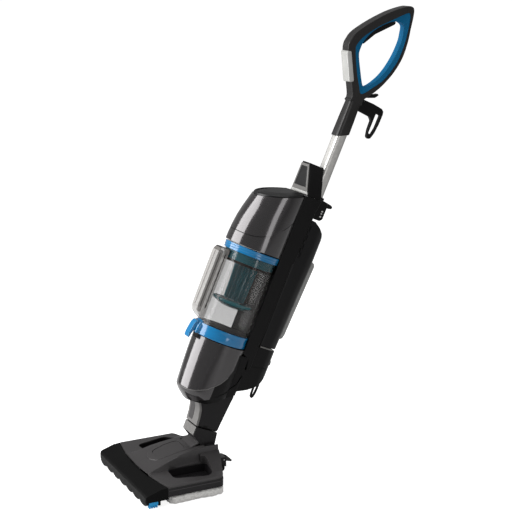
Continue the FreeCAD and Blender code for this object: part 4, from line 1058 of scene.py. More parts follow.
    def lip(self) -> None:
        """Scalloped lower lip in front of the slot, and the wiper behind it."""
        low, half, scallops = [], 146.0, 7
        for step in range(121):
            x = -half + 2 * half * step / 120
            wave = abs(math.sin(math.pi * (x + half) / (2 * half) * scallops))
            low.append((x, 10.5 - 6.5 * wave ** 0.6))
        outline = tuple(low + [(half, 15.8), (-half, 15.8)])
        front = Bench.loft("front_lip", [FrontCut(outline, -206.5), FrontCut(outline, -200.8)],
                           len(outline))
        rear = Bench.block("wiper", (-146, -177.4, 4), (146, -172, 15.8))
        Bench.add(front, rear)
        for side in (-1, 1):
            end = Bench.block("end", (side * 133.5 - 1.5, -201.5, 4),
                              (side * 133.5 + 1.5, -172.5, 15.8))
            Bench.add(front, end)
        Bench.soften(front, 0.7, 2, 40)
        self.hand_over(front, Finishes.RUBBER, "floor_head", ("nozzle_lip",), 40)

    def base(self) -> None:
        """Dark tray under the cover, with the hinge cheeks and the pedal arms."""
        self.refit("head_base", Finishes.HEAD_DARK, "floor_head", 0.8)
        rim = Bench.slab("side_band", self.outline(-0.6), 33.5, 35.0)
        Bench.cut(rim, Bench.slab("hole", self.outline(0.2), 30, 50))
        keep = Bench.block("keep", (-200, -152, 20), (200, 10, 60))
        Bench.keep(rim, keep)
        self.hand_over(rim, Finishes.HEAD_GREY, "floor_head")

    def tabs(self) -> None:
        """Ribbed blue strips at both ends of the nozzle."""
        for side in (-1, 1):
            leaves = []
            for number in range(4):
                y = -200 + number * 5.6
                x = side * 142.5
                leaves.append(Bench.block("leaf", (x - 4.5, y, 1), (x + 4.5, y + 3.6, 15.6)))
            back = Bench.block("back", (side * 142.5 - 4.5, -200, 7),
                               (side * 142.5 + 4.5, -178.4, 15.6))
            tab = Bench.join(leaves, "tab")
            Bench.add(tab, back)
            Bench.soften(tab, 0.8, 2, 40)
            nodes = ("edge_strips",) if side > 0 else ()
            self.hand_over(tab, Finishes.SOFT_BLUE, "floor_head", nodes)

    def rear_parts(self) -> None:
        """Pedal with its rubber tread, wheels and screws."""
        self.refit("tray_pedal", Finishes.HEAD_GREY, "tray_pedal", 1.4)
        tread = []
        for number in range(4):
            y = 53 + number * 3.0
            top = 28 - 0.571 * (y - 52)
            tread.append(Bench.block("bar", (-13, y, top - 2.2), (13, y + 1.6, top + 0.5)))
        bars = Bench.join(tread, "pedal_tread")
        Bench.soften(bars, 0.5, 2, 40)
        self.hand_over(bars, Finishes.RUBBER, "tray_pedal")
        for name in ("wheel_left", "wheel_right"):
            self.refit(name, Finishes.RUBBER, name, 1.6)
        flap = Bench.plate("throat_flap", ((-20, 92), (-30, 84.5), (-46, 77.2), (-47.5, 75),
                                           (-44, 73.5), (-30, 79), (-18, 86)), 29.5)
        Bench.soften(flap, 1.0, 3, 40)
        self.hand_over(flap, Finishes.HEAD_GREY, "neck_yoke")


@dataclass
class MopPad(Assembly):
    """Plush pad that wraps the tray."""

    half: float = 148.6
    front: float = -150.5
    rear: float = -12.5
    height: float = 20.0

    def build(self) -> None:
        """Inflate the pad, then raise its plush."""
        middle = (self.front + self.rear) / 2
        deep = (self.rear - self.front) / 2
        cuts = []
        for inset, z in [(3.0, 0.4), (0.6, 3.0), (0.0, 8.0), (0.0, 14.0), (1.0, self.height)]:
            cuts.append(Rounded(self.half - inset, deep - inset, z, 0, middle, 14.0))
        pad = Bench.loft("mop_plush", cuts, 96)
        tray_low, tray_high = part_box("mop_tray")
        grow = Vector((0.9, 0.9, 0.9))
        shift = self.place.origin / MM
        recess = Bench.block("tray_space", tray_low / MM - shift - grow,
                             tray_high / MM - shift + grow + Vector((0, 0, 4)))
        Bench.cut(pad, recess)
        Bench.pick(pad)
        cells = pad.modifiers.new("cells", "REMESH")
        cells.mode = "VOXEL"
        cells.voxel_size = 0.0042
        bpy.ops.object.modifier_apply(modifier=cells.name)
        self.inflate(pad)
        grow_mesh = pad.modifiers.new("grow", "SUBSURF")
        grow_mesh.subdivision_type = "CATMULL_CLARK"
        grow_mesh.levels = 1
        bpy.ops.object.modifier_apply(modifier=grow_mesh.name)
        self.raise_plush(pad)
        self.hand_over(pad, Finishes.PAD, "mop_carrier", ("mop_pad",), 180, False)

    def inflate(self, pad: bpy.types.Object) -> None:
        """Let the pad swell a little as cloth."""
        before = [vert.co.copy() for vert in pad.data.vertices]
        cloth = pad.modifiers.new("swell", "CLOTH")
        cloth.settings.use_pressure = True
        cloth.settings.uniform_pressure_force = 4
        cloth.settings.effector_weights.gravity = 0
        cloth.settings.quality = 5
        cloth.point_cache.frame_start = 1
        cloth.point_cache.frame_end = 20
        for frame_number in range(1, 21):
            bpy.context.scene.frame_set(frame_number)
        bpy.ops.object.modifier_apply(modifier=cloth.name)
        bpy.context.scene.frame_set(1)
        farthest = 2.2 * MM
        for vert, old in zip(pad.data.vertices, before):
            move = vert.co - old
            if move.length > farthest:
                move *= farthest / move.length
            vert.co = old + move

    def raise_plush(self, pad: bpy.types.Object) -> None:
        """Push the surface into tufts, and keep the sole on the floor."""
        mesh = pad.data
        normals = [vert.normal.copy() for vert in mesh.vertices]
        for vert, normal in zip(mesh.vertices, normals):
            spot = vert.co * 1000
            tuft = 1 - min(1.0, noise.cell_vector(spot * 0.2).length)
            wave = noise.noise(spot * 0.17) * 2.4 + noise.noise(spot * 0.36) * 1.6
            outside = spot.z < 19.5
            push = (wave + 0.5 * tuft + 0.7) * MM if outside else 0.0
            vert.co += normal * push
            vert.co.z = max(0.0004, min(vert.co.z, (self.height + 0.2) * MM))


# ------------------------------------------------------------------ neck

@dataclass
class Neck(Assembly):
    """Yoke on the hinge, and the swivelling neck above it."""

    half: float = 31.0

    def build(self) -> None:
        """Model the yoke, the neck and their front strips."""
        self.refit("neck_yoke", Finishes.NECK_DARK, "neck_yoke", 1.2)
        self.refit("yoke_front_strip", Finishes.NECK_GREY, "neck_yoke", 0.6)
        self.upper()
        self.strip()
        self.catch()

    def outline(self, inset: float) -> tuple[Pair, ...]:
        """Return the neck's side view."""
        front = [(-47 + inset, 33.8), (-49 + inset, 55), (-53 + inset, 74), (-62 + inset, 90)]
        rear = [(-70 + inset, 96), (-30, 130), (13 - inset, 136), (17 - inset, 124),
                (15 - inset, 108), (11.5 - inset, 70), (9 - inset, 40), (8.5 - inset, 33.8)]
        return tuple(front + rear)

    def upper(self) -> None:
        """Dark neck with rounded sides and an open bore."""
        neck = Bench.plate("neck_shell", self.outline(0), self.half)
        Bench.soften(neck, 5.0, 4, 50)
        bore = Bench.drum("bore", 19.3, (0, -20, 20), (0, -20, 54))
        Bench.cut(neck, bore)
        duct = Bench.drum("duct", 12.0, (0, -20, 40), (0, -20, 150))
        Bench.cut(neck, duct)
        self.hand_over(neck, Finishes.NECK_DARK, "upper_body", ("neck_upper",), 40)

    def strip(self) -> None:
        """Light front strip with a raised middle, up to the chin."""
        points = [(-51.4, 34.6), (-53.6, 55), (-57.6, 74), (-66.6, 90), (-73, 96),
                  (-66, 97.5), (-56, 88), (-47, 74), (-43, 55), (-41, 34.6)]
        strip = Bench.plate("neck_strip", tuple(points), 29.3)
        Bench.soften(strip, 2.6, 3, 50)
        self.hand_over(strip, Finishes.NECK_GREY, "upper_body", ("neck_front_strip",), 40)
        slope = ((-52.4, 42), (-54.1, 55), (-58.1, 74), (-63.6, 84), (-60, 84), (-55, 74),
                 (-51, 55), (-49, 42))
        inset = Bench.loft("strip_field", [SideCut(slope, -20), SideCut(slope, 3)], 8)
        edge = rounded_corners([(-20, 41), (3, 41), (3, 85), (-20, 85)], 7.0)
        Bench.keep(inset, Bench.loft("edge", [FrontCut(edge, -90), FrontCut(edge, -40)], len(edge)))
        self.hand_over(inset, Finishes.HEAD_GREY, "upper_body")

    def catch(self) -> None:
        """Small black catch at the split, on each side."""
        for side in (-1, 1):
            peg = Bench.block("catch", (side * 30.6 - 0.8, -33, 38), (side * 30.6 + 0.8, -21, 41.2))
            Bench.soften(peg, 0.5, 2, 40)
            self.hand_over(peg, Finishes.RUBBER, "upper_body")


# ------------------------------------------------------------------ body

@dataclass
class BodyShells(Assembly):
    """Lower and upper charcoal shells, chin band, cap, spine and rear case."""

    half: float = 50.0
    border: float = -16.0
    wall: float = 2.5

    def build(self) -> None:
        """Model every shell of the body."""
        self.lower()
        self.upper()
        self.cap()
        self.spine()
        self.rear_case()

    def lower_loft(self, inset: float, low: float, high: float) -> bpy.types.Object:
        """Return the lower form between two heights."""
        stations = [(low, -88), (90, -96), (97, -105), (104, -112.5), (110, -117),
                    (116, -118.6), (130, -119.8), (165, -122), (200, -123.6), (high, -124.4)]
        cuts = [Dee(front + inset, 6, self.half - inset, s, self.border) for s, front in stations]
        return Bench.loft("lower_form", cuts, 96)

    def lower(self) -> None:
        """Lower shell above the black band, and the band itself."""
        shell = self.lower_loft(0, 84, 239)
        region = ((-140, 245), (-15.5, 245), (-15.5, 232), (-27, 226), (-27, 205), (-28, 188),
                  (-36, 170), (-51, 152), (-77, 130), (-99, 118), (-111, 113), (-140, 110))
        Bench.keep(shell, Bench.plate("region", region, THROUGH))
        mouth = ((-19, 245), (19, 245), (13, 230), (-13, 230))
        notch = Bench.loft("notch", [FrontCut(mouth, depth) for depth in (-140, -100)], 4)
        Bench.cut(shell, notch)
        Bench.cut(shell, self.lower_loft(self.wall, 80, 250))
        Bench.soften(shell, 0.9, 3, 40)
        self.hand_over(shell, Finishes.CHARCOAL, "upper_body", ("lower_shell",), 36)
        line = ((-119.6, 111.6), (-111, 113), (-99, 118), (-77, 130), (-51, 152), (-36, 170),
                (-35.2, 169.4), (-50.4, 151), (-76.6, 128.9), (-98.8, 116.9), (-110.9, 111.9),
                (-119.6, 110.5))
        edge = self.lower_loft(-0.1, 84, 239)
        Bench.keep(edge, Bench.plate("line", line, THROUGH))
        Bench.cut(edge, self.lower_loft(self.wall, 80, 250))
        self.hand_over(edge, Finishes.NECK_GREY, "upper_body")
        band = self.lower_loft(0.5, 84, 239)
        lower_region = ((-125, 110), (-111, 112), (-99, 117), (-77, 129.2), (-51, 151.2),
                        (-28.8, 188), (-27.8, 226), (-16, 226), (4, 226), (4, 196), (-3, 160),
                        (-23, 136), (-78, 98), (-90, 86), (-125, 84))
        Bench.keep(band, Bench.plate("region", lower_region, THROUGH))
        Bench.cut(band, self.lower_loft(self.wall + 1.5, 80, 250))
        Bench.soften(band, 0.8, 2, 40)
        front = Bench.copy(band, "chin_front")
        reach = ((-140, 70), (-62, 70), (-62, 150), (-140, 150))
        Bench.keep(front, Bench.plate("reach", reach, THROUGH))
        Bench.cut(band, Bench.plate("reach", reach, THROUGH))
        self.hand_over(front, Finishes.CHARCOAL, "upper_body")
        self.hand_over(band, Finishes.BLACK, "upper_body", ("chin_band",), 36)
        dark = Bench.plate("notch_insert", ((-121, 229), (-121, 239.5), (-117, 239.5),
                                            (-117, 229)), 19)
        self.hand_over(dark, Finishes.RUBBER, "upper_body")

    def upper_loft(self, inset: float, low: float, high: float) -> bpy.types.Object:
        """Return the upper form between two heights."""
        stations = [(low, -134), (485, -133.6), (505, -132.2), (530, -129), (555, -123.4),
                    (578, -117), (600, -110.6), (high, -104)]
        cuts = [Dee(front + inset, 2, self.half - inset, s, self.border) for s, front in stations]
        return Bench.loft("upper_form", cuts, 96)

    def upper(self) -> None:
        """Upper shell with its seam, cut off by the slanted cap plane."""
        shell = self.upper_loft(0, 469.4, 632)
        region = ((-160, 460), (-16.5, 460), (-16.5, 622), (-113, 587.4), (-160, 570))
        Bench.keep(shell, Bench.plate("region", region, THROUGH))
        line = smooth_curve([(-150, 500), (-126, 495.5), (-100, 499), (-70, 513), (-40, 537),
                             (-12, 566)], 6, closed=False)
        upper_edge = [(q, s + 0.8) for q, s in line]
        lower_edge = [(q, s - 0.8) for q, s in reversed(line)]
        groove = Bench.plate("groove", tuple(upper_edge + lower_edge), THROUGH)
        filler = self.upper_loft(0.7, 469.4, 632)
        Bench.keep(filler, Bench.copy(groove, "groove_copy"))
        Bench.cut(filler, self.upper_loft(self.wall, 460, 640))
        keep = ((-160, 460), (-17, 460), (-17, 640), (-160, 640))
        Bench.keep(filler, Bench.plate("keep", keep, THROUGH))
        filler.name = "shell_seam"
        self.hand_over(filler, Finishes.RUBBER, "upper_body")
        Bench.cut(groove, self.upper_loft(1.9, 460, 640))
        Bench.cut(shell, groove)
        inner = self.upper_loft(self.wall, 460, 640)
        Bench.cut(shell, inner)
        Bench.soften(shell, 0.5, 2, 40)
        self.hand_over(shell, Finishes.CHARCOAL, "upper_body", ("upper_shell",), 30)

    def cap(self) -> None:
        """Glossy dish with a raised rim on the slanted plane."""
        cuts = []
        for inset, rise in [(1.2, -6.0), (1.0, 1.0), (0.4, 3.2), (1.4, 5.0), (3.2, 5.2),
                            (4.6, 4.2), (6.0, 1.6), (10.0, 0.6), (22.0, 0.2)]:
            cuts.append(Dee(-111.5 + inset, -15.5 - inset * 0.2, 49.4 - inset, 622 + rise,
                            -16.5 - inset, 0.358))
        dish = Bench.loft("cap_dish", cuts, 96)
        self.hand_over(dish, Finishes.GLOSS_BLACK, "upper_body", ("top_cap",), 44)
        notch = Bench.plate("cap_notch", ((-62, 592.5), (-52, 597.5), (-17, 610.5), (-17, 600),
                                          (-46, 589), (-54, 588.5)), 50.5)
        Bench.keep(notch, self.upper_loft(-0.15, 460, 640))
        Bench.cut(notch, self.upper_loft(self.wall, 450, 650))
        self.hand_over(notch, Finishes.RUBBER, "upper_body")

    def cup_well(self) -> bpy.types.Object:
        """Return the round space that the dirt tank's cup stands in."""
        low, high = Vector((0, -64, 239.5)), Vector((0, -64, 469))
        return Bench.drum("well", 67.5, low, high, 96)

    def spine(self) -> None:
        """Black frame behind the border, hollowed for the tank."""
        outline = ((-15.5, 627), (-15.5, 232), (3.5, 222), (8, 196), (18, 200), (18, 262),
                   (19.5, 300), (20, 462), (25, 470), (27, 560), (29, 600), (34, 628))
        frame = Bench.plate("spine_sides", outline, self.half)
        Bench.soften(frame, 2.4, 3, 40)
        Bench.cut(frame, self.cup_well())
        inner = Bench.block("inner", (-46, -30, 245), (46, 15.5, 462))
        Bench.cut(frame, inner)
        motor = Bench.block("motor_bay", (-46, -30, 466), (46, 18, 620))
        Bench.cut(frame, motor)
        low = Bench.block("low_bay", (-46, -30, 205), (46, 14, 241))
        Bench.cut(frame, low)
        back = Bench.block("tank_back", (-47, 2.6, 246), (47, 4.6, 461))
        Bench.cut(back, self.cup_well())
        self.hand_over(frame, Finishes.BLACK, "upper_body", ("spine_frame",), 40)
        self.hand_over(back, Finishes.RUBBER, "upper_body")

    def case_plan(self, inset: float) -> tuple[Pair, ...]:
        """Return the rear case's plan, which closes in to a narrow back."""
        right = [(45 - inset, -40), (45 - inset, 51), (36 - inset, 69 - inset / 2),
                 (20 - inset / 2, 80.4 - inset)]
        return rounded_corners(mirrored(right), 6.0, 3)

    def rear_case(self) -> None:
        """Case below the water tank, with the light stripe at its top."""
        outline = ((19.2, 257.5), (19.2, 205), (6, 200), (-1.6, 160), (-21, 137.4), (8, 142),
                   (32, 152), (60, 170), (77, 194), (79, 209), (80.4, 257.5))
        case = Bench.plate("rear_case_shell", outline, 45)
        Bench.keep(case, Bench.slab("plan", self.case_plan(0), 120, 270))
        Bench.soften(case, 3.0, 3, 50)
        inner = Bench.plate("hole", ((24, 210), (30, 162), (57, 176), (74, 200), (76, 252),
                                     (24, 252)), 42)
        Bench.keep(inner, Bench.slab("plan", self.case_plan(3), 100, 280))
        Bench.cut(case, inner)
        seam = Bench.plate("seam", ((22, 208.4), (100, 216.2), (100, 217.2), (22, 209.4)), 60)
        Bench.cut(seam, Bench.slab("core", self.case_plan(1.4), 190, 240))
        Bench.cut(case, seam)
        port = Bench.drum("port", 7.4, (0, 70, 224), (0, 110, 224), 32)
        Bench.cut(case, port)
        self.hand_over(case, Finishes.BLACK, "upper_body", ("rear_case",), 40)
        stripe = Bench.slab("case_stripe", self.case_plan(-0.6), 258.2, 261.4)
        Bench.keep(stripe, Bench.block("keep", (-60, 24, 250), (60, 62, 270)))
        Bench.soften(stripe, 0.6, 2, 40)
        self.hand_over(stripe, Finishes.NECK_GREY, "upper_body")
        line = smooth_curve([(76, 196), (84, 184), (86, 160), (84, 138), (78.5, 130),
                             (73.5, 137), (73, 160), (71, 182)], 5)
        loop = Bench.plate("lower_loop", tuple(line), 3.2)
        way = smooth_curve([(76.5, 188), (80.4, 180), (82.4, 160), (80.6, 141), (78.4, 136),
                            (76.6, 141), (76.2, 160), (75, 180)], 5)
        Bench.cut(loop, Bench.plate("way", tuple(way), 20))
        Bench.soften(loop, 0.8, 2, 45)
        self.hand_over(loop, Finishes.BLACK, "upper_body", ("lower_cord_hook",), 45)
        self.refit("cord_gland", Finishes.RUBBER, "upper_body", 0.6)
        chin = self.lower_loft(0.6, 84, 210)
        wedge = ((-140, 70), (-95, 87), (-64, 95), (-20, 118.5), (14, 137), (19, 142),
                 (18, 198), (10, 192), (-3, 156), (-23, 133), (-78, 100), (-140, 90))
        Bench.keep(chin, Bench.plate("wedge", wedge, THROUGH))
        duct = Bench.drum("duct", 12.0, (0, -20, 60), (0, -20, 190))
        Bench.cut(chin, duct)
        self.hand_over(chin, Finishes.BLACK, "upper_body", ("chin_floor",), 36)


# ------------------------------------------------------------------ tanks

@dataclass(frozen=True)
class Ribbed:
    """Round section with ribs round it."""

    radius: float
    height: float
    ribs: int
    deep: float
    y: float

    def spot(self, index: int, count: int) -> Vector:
        """Return outline point index of count."""
        angle = 2 * math.pi * index / count
        swell = self.deep * (0.5 + 0.5 * math.cos(self.ribs * angle)) ** 0.5
        reach = self.radius - swell
        return Vector((reach * math.cos(angle), self.y + reach * math.sin(angle), self.height))


@dataclass
class DirtTank(Assembly):
    """Clear cup with its blue rings, teal works, clear grip and latch."""

    axis_q: float = -64.0
    radius: float = 66.0

    def build(self) -> None:
        """Model the dirt tank."""
        self.cup()
        self.lid()
        self.works()
        self.base()
        self.grip()
        self.latch()

    def turned(self, name: str, profile: list[Pair], count: int = 96) -> bpy.types.Object:
        """Return a turned solid from (radius, height) pairs."""
        cuts = [Rounded(r, r, s, 0, self.axis_q, 2.0) for r, s in profile]
        return Bench.loft(name, cuts, count)

    def cup(self) -> None:
        """Clear wall of the cup, with a thicker lip."""
        cup = self.turned("cup_wall", [(63.6, 268.2), (64, 269.5), (64, 446), (64.6, 449.8)])
        inside = self.turned("inside", [(61.8, 264), (62.2, 330), (62.2, 452)])
        Bench.cut(cup, inside)
        Bench.soften(cup, 0.3, 2, 40)
        self.hand_over(cup, Finishes.CLEAR, "dirt_tank", ("tank_cup",), 40)
        floor = self.turned("cup_floor", [(61.4, 269), (61.4, 271), (40, 272.5), (20, 273)])
        self.hand_over(floor, Finishes.SMOKE, "dirt_tank")

    def lid(self) -> None:
        """Blue ring with two ridges, on a teal skirt that reaches into the cup."""
        ring = self.turned("lid_ring", [
            (64.2, 450.2), (66.4, 450.8), (66.9, 452.6), (66.2, 454.6), (66.2, 456.0),
            (67.1, 457.0), (67.4, 458.6), (66.7, 460.4), (66.7, 461.6), (67.6, 462.6),
            (67.9, 464.4), (67.0, 466.2), (60, 466.6)], 128)
        hole = self.turned("hole", [(22, 440), (22, 480)])
        Bench.cut(ring, hole)
        self.hand_over(ring, Finishes.BLUE, "dirt_tank", ("tank_lid",), 50)
        skirt = self.turned("teal_skirt", [(60.8, 430.5), (61.6, 431.5), (61.6, 449.8)])
        bore = self.turned("bore", [(54, 425), (58.5, 440), (58.5, 460)])
        Bench.cut(skirt, bore)
        self.hand_over(skirt, Finishes.TEAL, "dirt_tank")
        seal = self.turned("seal", [(60.6, 424.5), (61.5, 425.5), (61.5, 429), (60.6, 430)])
        Bench.cut(seal, self.turned("bore", [(52, 420), (52, 440)]))
        self.hand_over(seal, Finishes.RUBBER, "dirt_tank")

    def works(self) -> None:
        """Ribbed teal core over a flared disk."""
        cuts = [Ribbed(25, 340, 20, 0.6, self.axis_q), Ribbed(25.4, 344, 20, 3.0, self.axis_q),
                Ribbed(26.5, 380, 20, 3.4, self.axis_q), Ribbed(29, 428, 20, 3.4, self.axis_q),
                Ribbed(34, 436, 20, 1.0, self.axis_q)]
        core = Bench.loft("cyclone_ribs", cuts, 200)
        Bench.cut(core, self.turned("bore", [(18, 330), (18, 445)]))
        self.hand_over(core, Finishes.TEAL, "dirt_tank", ("cyclone_core",), 50)
        disk = self.turned("flared_disk", [
            (24, 322), (34, 325), (44, 329), (48.2, 331.2), (49.3, 333.4), (49.2, 336.2),
            (48.2, 337.6), (44, 336.4), (32, 335.4)], 128)
        Bench.cut(disk, self.turned("bore", [(17.8, 315), (17.8, 345)]))
        self.hand_over(disk, Finishes.TEAL_CLEAR, "dirt_tank", ("separator_disk",), 50)

    def base(self) -> None:
        """Lower blue ring with the swelling round the latch."""
        ring = self.turned("base_ring", [
            (61, 240.6), (64.6, 241), (66, 242.6), (66.2, 250), (65.4, 256), (65.2, 262),
            (66.4, 266), (66, 267.8), (64.6, 268.4)], 128)
        Bench.cut(ring, self.turned("inside", [(62.2, 262), (62.2, 280)]))
        Bench.cut(ring, self.turned("below", [(59, 230), (59, 243.5)]))
        swell = Bench.loft("swell", [
            Rounded(17, 8, 241.5, 0, -128.5, 4), Rounded(19, 10, 246, 0, -127.5, 4),
            Rounded(19, 10.5, 258, 0, -126.5, 4), Rounded(16, 8, 268, 0, -124.5, 4),
            Rounded(11, 4, 273, 0, -124, 4)], 48)
        slot = Bench.block("slot", (-11.6, -150, 236), (11.6, -129, 280))
        Bench.cut(swell, slot)
        Bench.cut(swell, self.turned("inner", [(61.5, 230), (61.5, 290)]))
        Bench.add(ring, swell)
        Bench.soften(ring, 0.6, 2, 45)
        self.hand_over(ring, Finishes.BLUE, "dirt_tank", ("tank_base_ring",), 40)

    def grip(self) -> None:
        """Clear upright grip with a spine and grooves on both sides."""
        outline = rounded_corners([(-127.5, 448), (-150, 448), (-156.5, 437), (-155, 300),
                                   (-149, 286), (-134, 276), (-127.5, 274)], 5, 3)
        block = Bench.plate("grip_block", outline, 15)
        for side in (-1, 1):
            for q in (-134.5, -148.5):
                groove = Bench.block("groove", (side * 15 - 1.4, q - 1.1, 300),
                                     (side * 15 + 1.4, q + 1.1, 436))
                Bench.cut(block, groove)
        Bench.soften(block, 2.2, 3, 45)
        self.hand_over(block, Finishes.GRIP, "dirt_tank", ("tank_grip",), 40)
        for side in (-1, 1):
            for q, wide in ((-134.5, 0.8), (-148.5, 0.7)):
                line = Bench.block("line", (side * 14.2 - 0.5, q - wide, 302),
                                   (side * 14.2 + 0.5, q + wide, 434))
                self.hand_over(line, Finishes.RUBBER, "dirt_tank")
        top = Bench.plate("grip_top", ((-128, 447.4), (-150, 447.4), (-155.6, 437.8),
                                       (-153.6, 437), (-149.4, 445.6), (-128, 445.6)), 13.5)
        self.hand_over(top, Finishes.GLOSS_BLACK, "dirt_tank")
        inner = Bench.plate("grip_spine", ((-139, 440), (-143, 440), (-143, 290), (-139, 288)), 8)
        Bench.soften(inner, 0.8, 2, 40)
        self.hand_over(inner, Finishes.NECK_GREY, "dirt_tank")

    def latch(self) -> None:
        """Blue paddle that opens the tank."""
        outline = ((-131, 270), (-139, 269), (-143, 262), (-145.5, 250), (-147.5, 236),
                   (-147, 226), (-143.5, 225), (-141, 236), (-138, 246), (-133.5, 254),
                   (-131, 262))
        paddle = Bench.plate("latch_paddle", outline, 11)
        Bench.soften(paddle, 1.6, 3, 45)
        for number in range(3):
            s = 231 + number * 5
            groove = Bench.drum("groove", 0.9, (-8, -148.2, s), (8, -148.2, s), 16)
            Bench.cut(paddle, groove)
        self.hand_over(paddle, Finishes.BLUE, "tank_latch", ("tank_latch",), 45)


@dataclass
class WaterTank(Assembly):
    """Smoked water tank with its ribbed level strip and cap."""

    half: float = 46.0
    wall: float = 3.0

    def plan(self, inset: float, low: float, high: float) -> bpy.types.Object:
        """Return a form that closes in to a narrow back, more so at the bottom."""
        cuts = []
        for s, shift in ((low, -8.6), (488, 0.0), (high, 0.0)):
            side = self.half - inset
            right = [(side, 20), (side, 57 + shift),
                     (37 - inset, 76 - inset / 2 + shift), (20 - inset / 2, 88.4 - inset + shift)]
            corners = mirrored(right)
            cuts.append(PlanCut(rounded_corners(corners, 7.0, 3), s))
        return Bench.loft("plan", cuts, 32)

    def build(self) -> None:
        """Model the tank, the strip and the cap."""
        outline = ((21.2, 263), (80, 262.6), (83, 310), (88, 488), (86.6, 528), (84, 542),
                   (72, 558), (58, 568), (40, 578), (30, 579), (29, 500), (22.6, 470))
        tank = Bench.plate("tank_body", outline, self.half)
        Bench.keep(tank, self.plan(0, 250, 590))
        Bench.soften(tank, 3.4, 4, 40)
        inner_outline = ((24.5, 266), (77, 266), (80, 310), (85, 488), (82, 538), (70, 555),
                         (38, 575), (33, 574), (32, 500), (26, 470))
        space = Bench.plate("inside", inner_outline, self.half - self.wall)
        Bench.keep(space, self.plan(self.wall, 250, 600))
        Bench.cut(tank, space)
        for number in range(4):
            s = 486 + 22 * number
            for side in (-1, 1):
                bite = Bench.block("bite", (side * self.half - 1.5, 26, s),
                                   (side * self.half + 1.5, 33.5, s + 13))
                Bench.cut(tank, bite)
        port = Bench.drum("port", 11, (0, 58, 255), (0, 58, 275), 48)
        Bench.cut(tank, port)
        frame = Bench.plate("window_way", ((74, 288), (120, 288), (120, 482), (80, 482)), 18)
        Bench.cut(tank, frame)
        self.hand_over(tank, Finishes.SMOKE, "water_tank", ("water_tank",), 40)
        strip = Bench.plate("level_strip", ((79.6, 286), (88, 290), (91, 300), (98.6, 466),
                                            (99, 478), (95, 484), (88, 487), (84, 484)), 19)
        Bench.soften(strip, 2.0, 3, 45)
        self.hand_over(strip, Finishes.WINDOW, "water_tank", ("water_window",), 40)
        self.refit("water_cap", Finishes.BLACK, "water_cap", 0.8)


# ------------------------------------------------------------------ top and tube

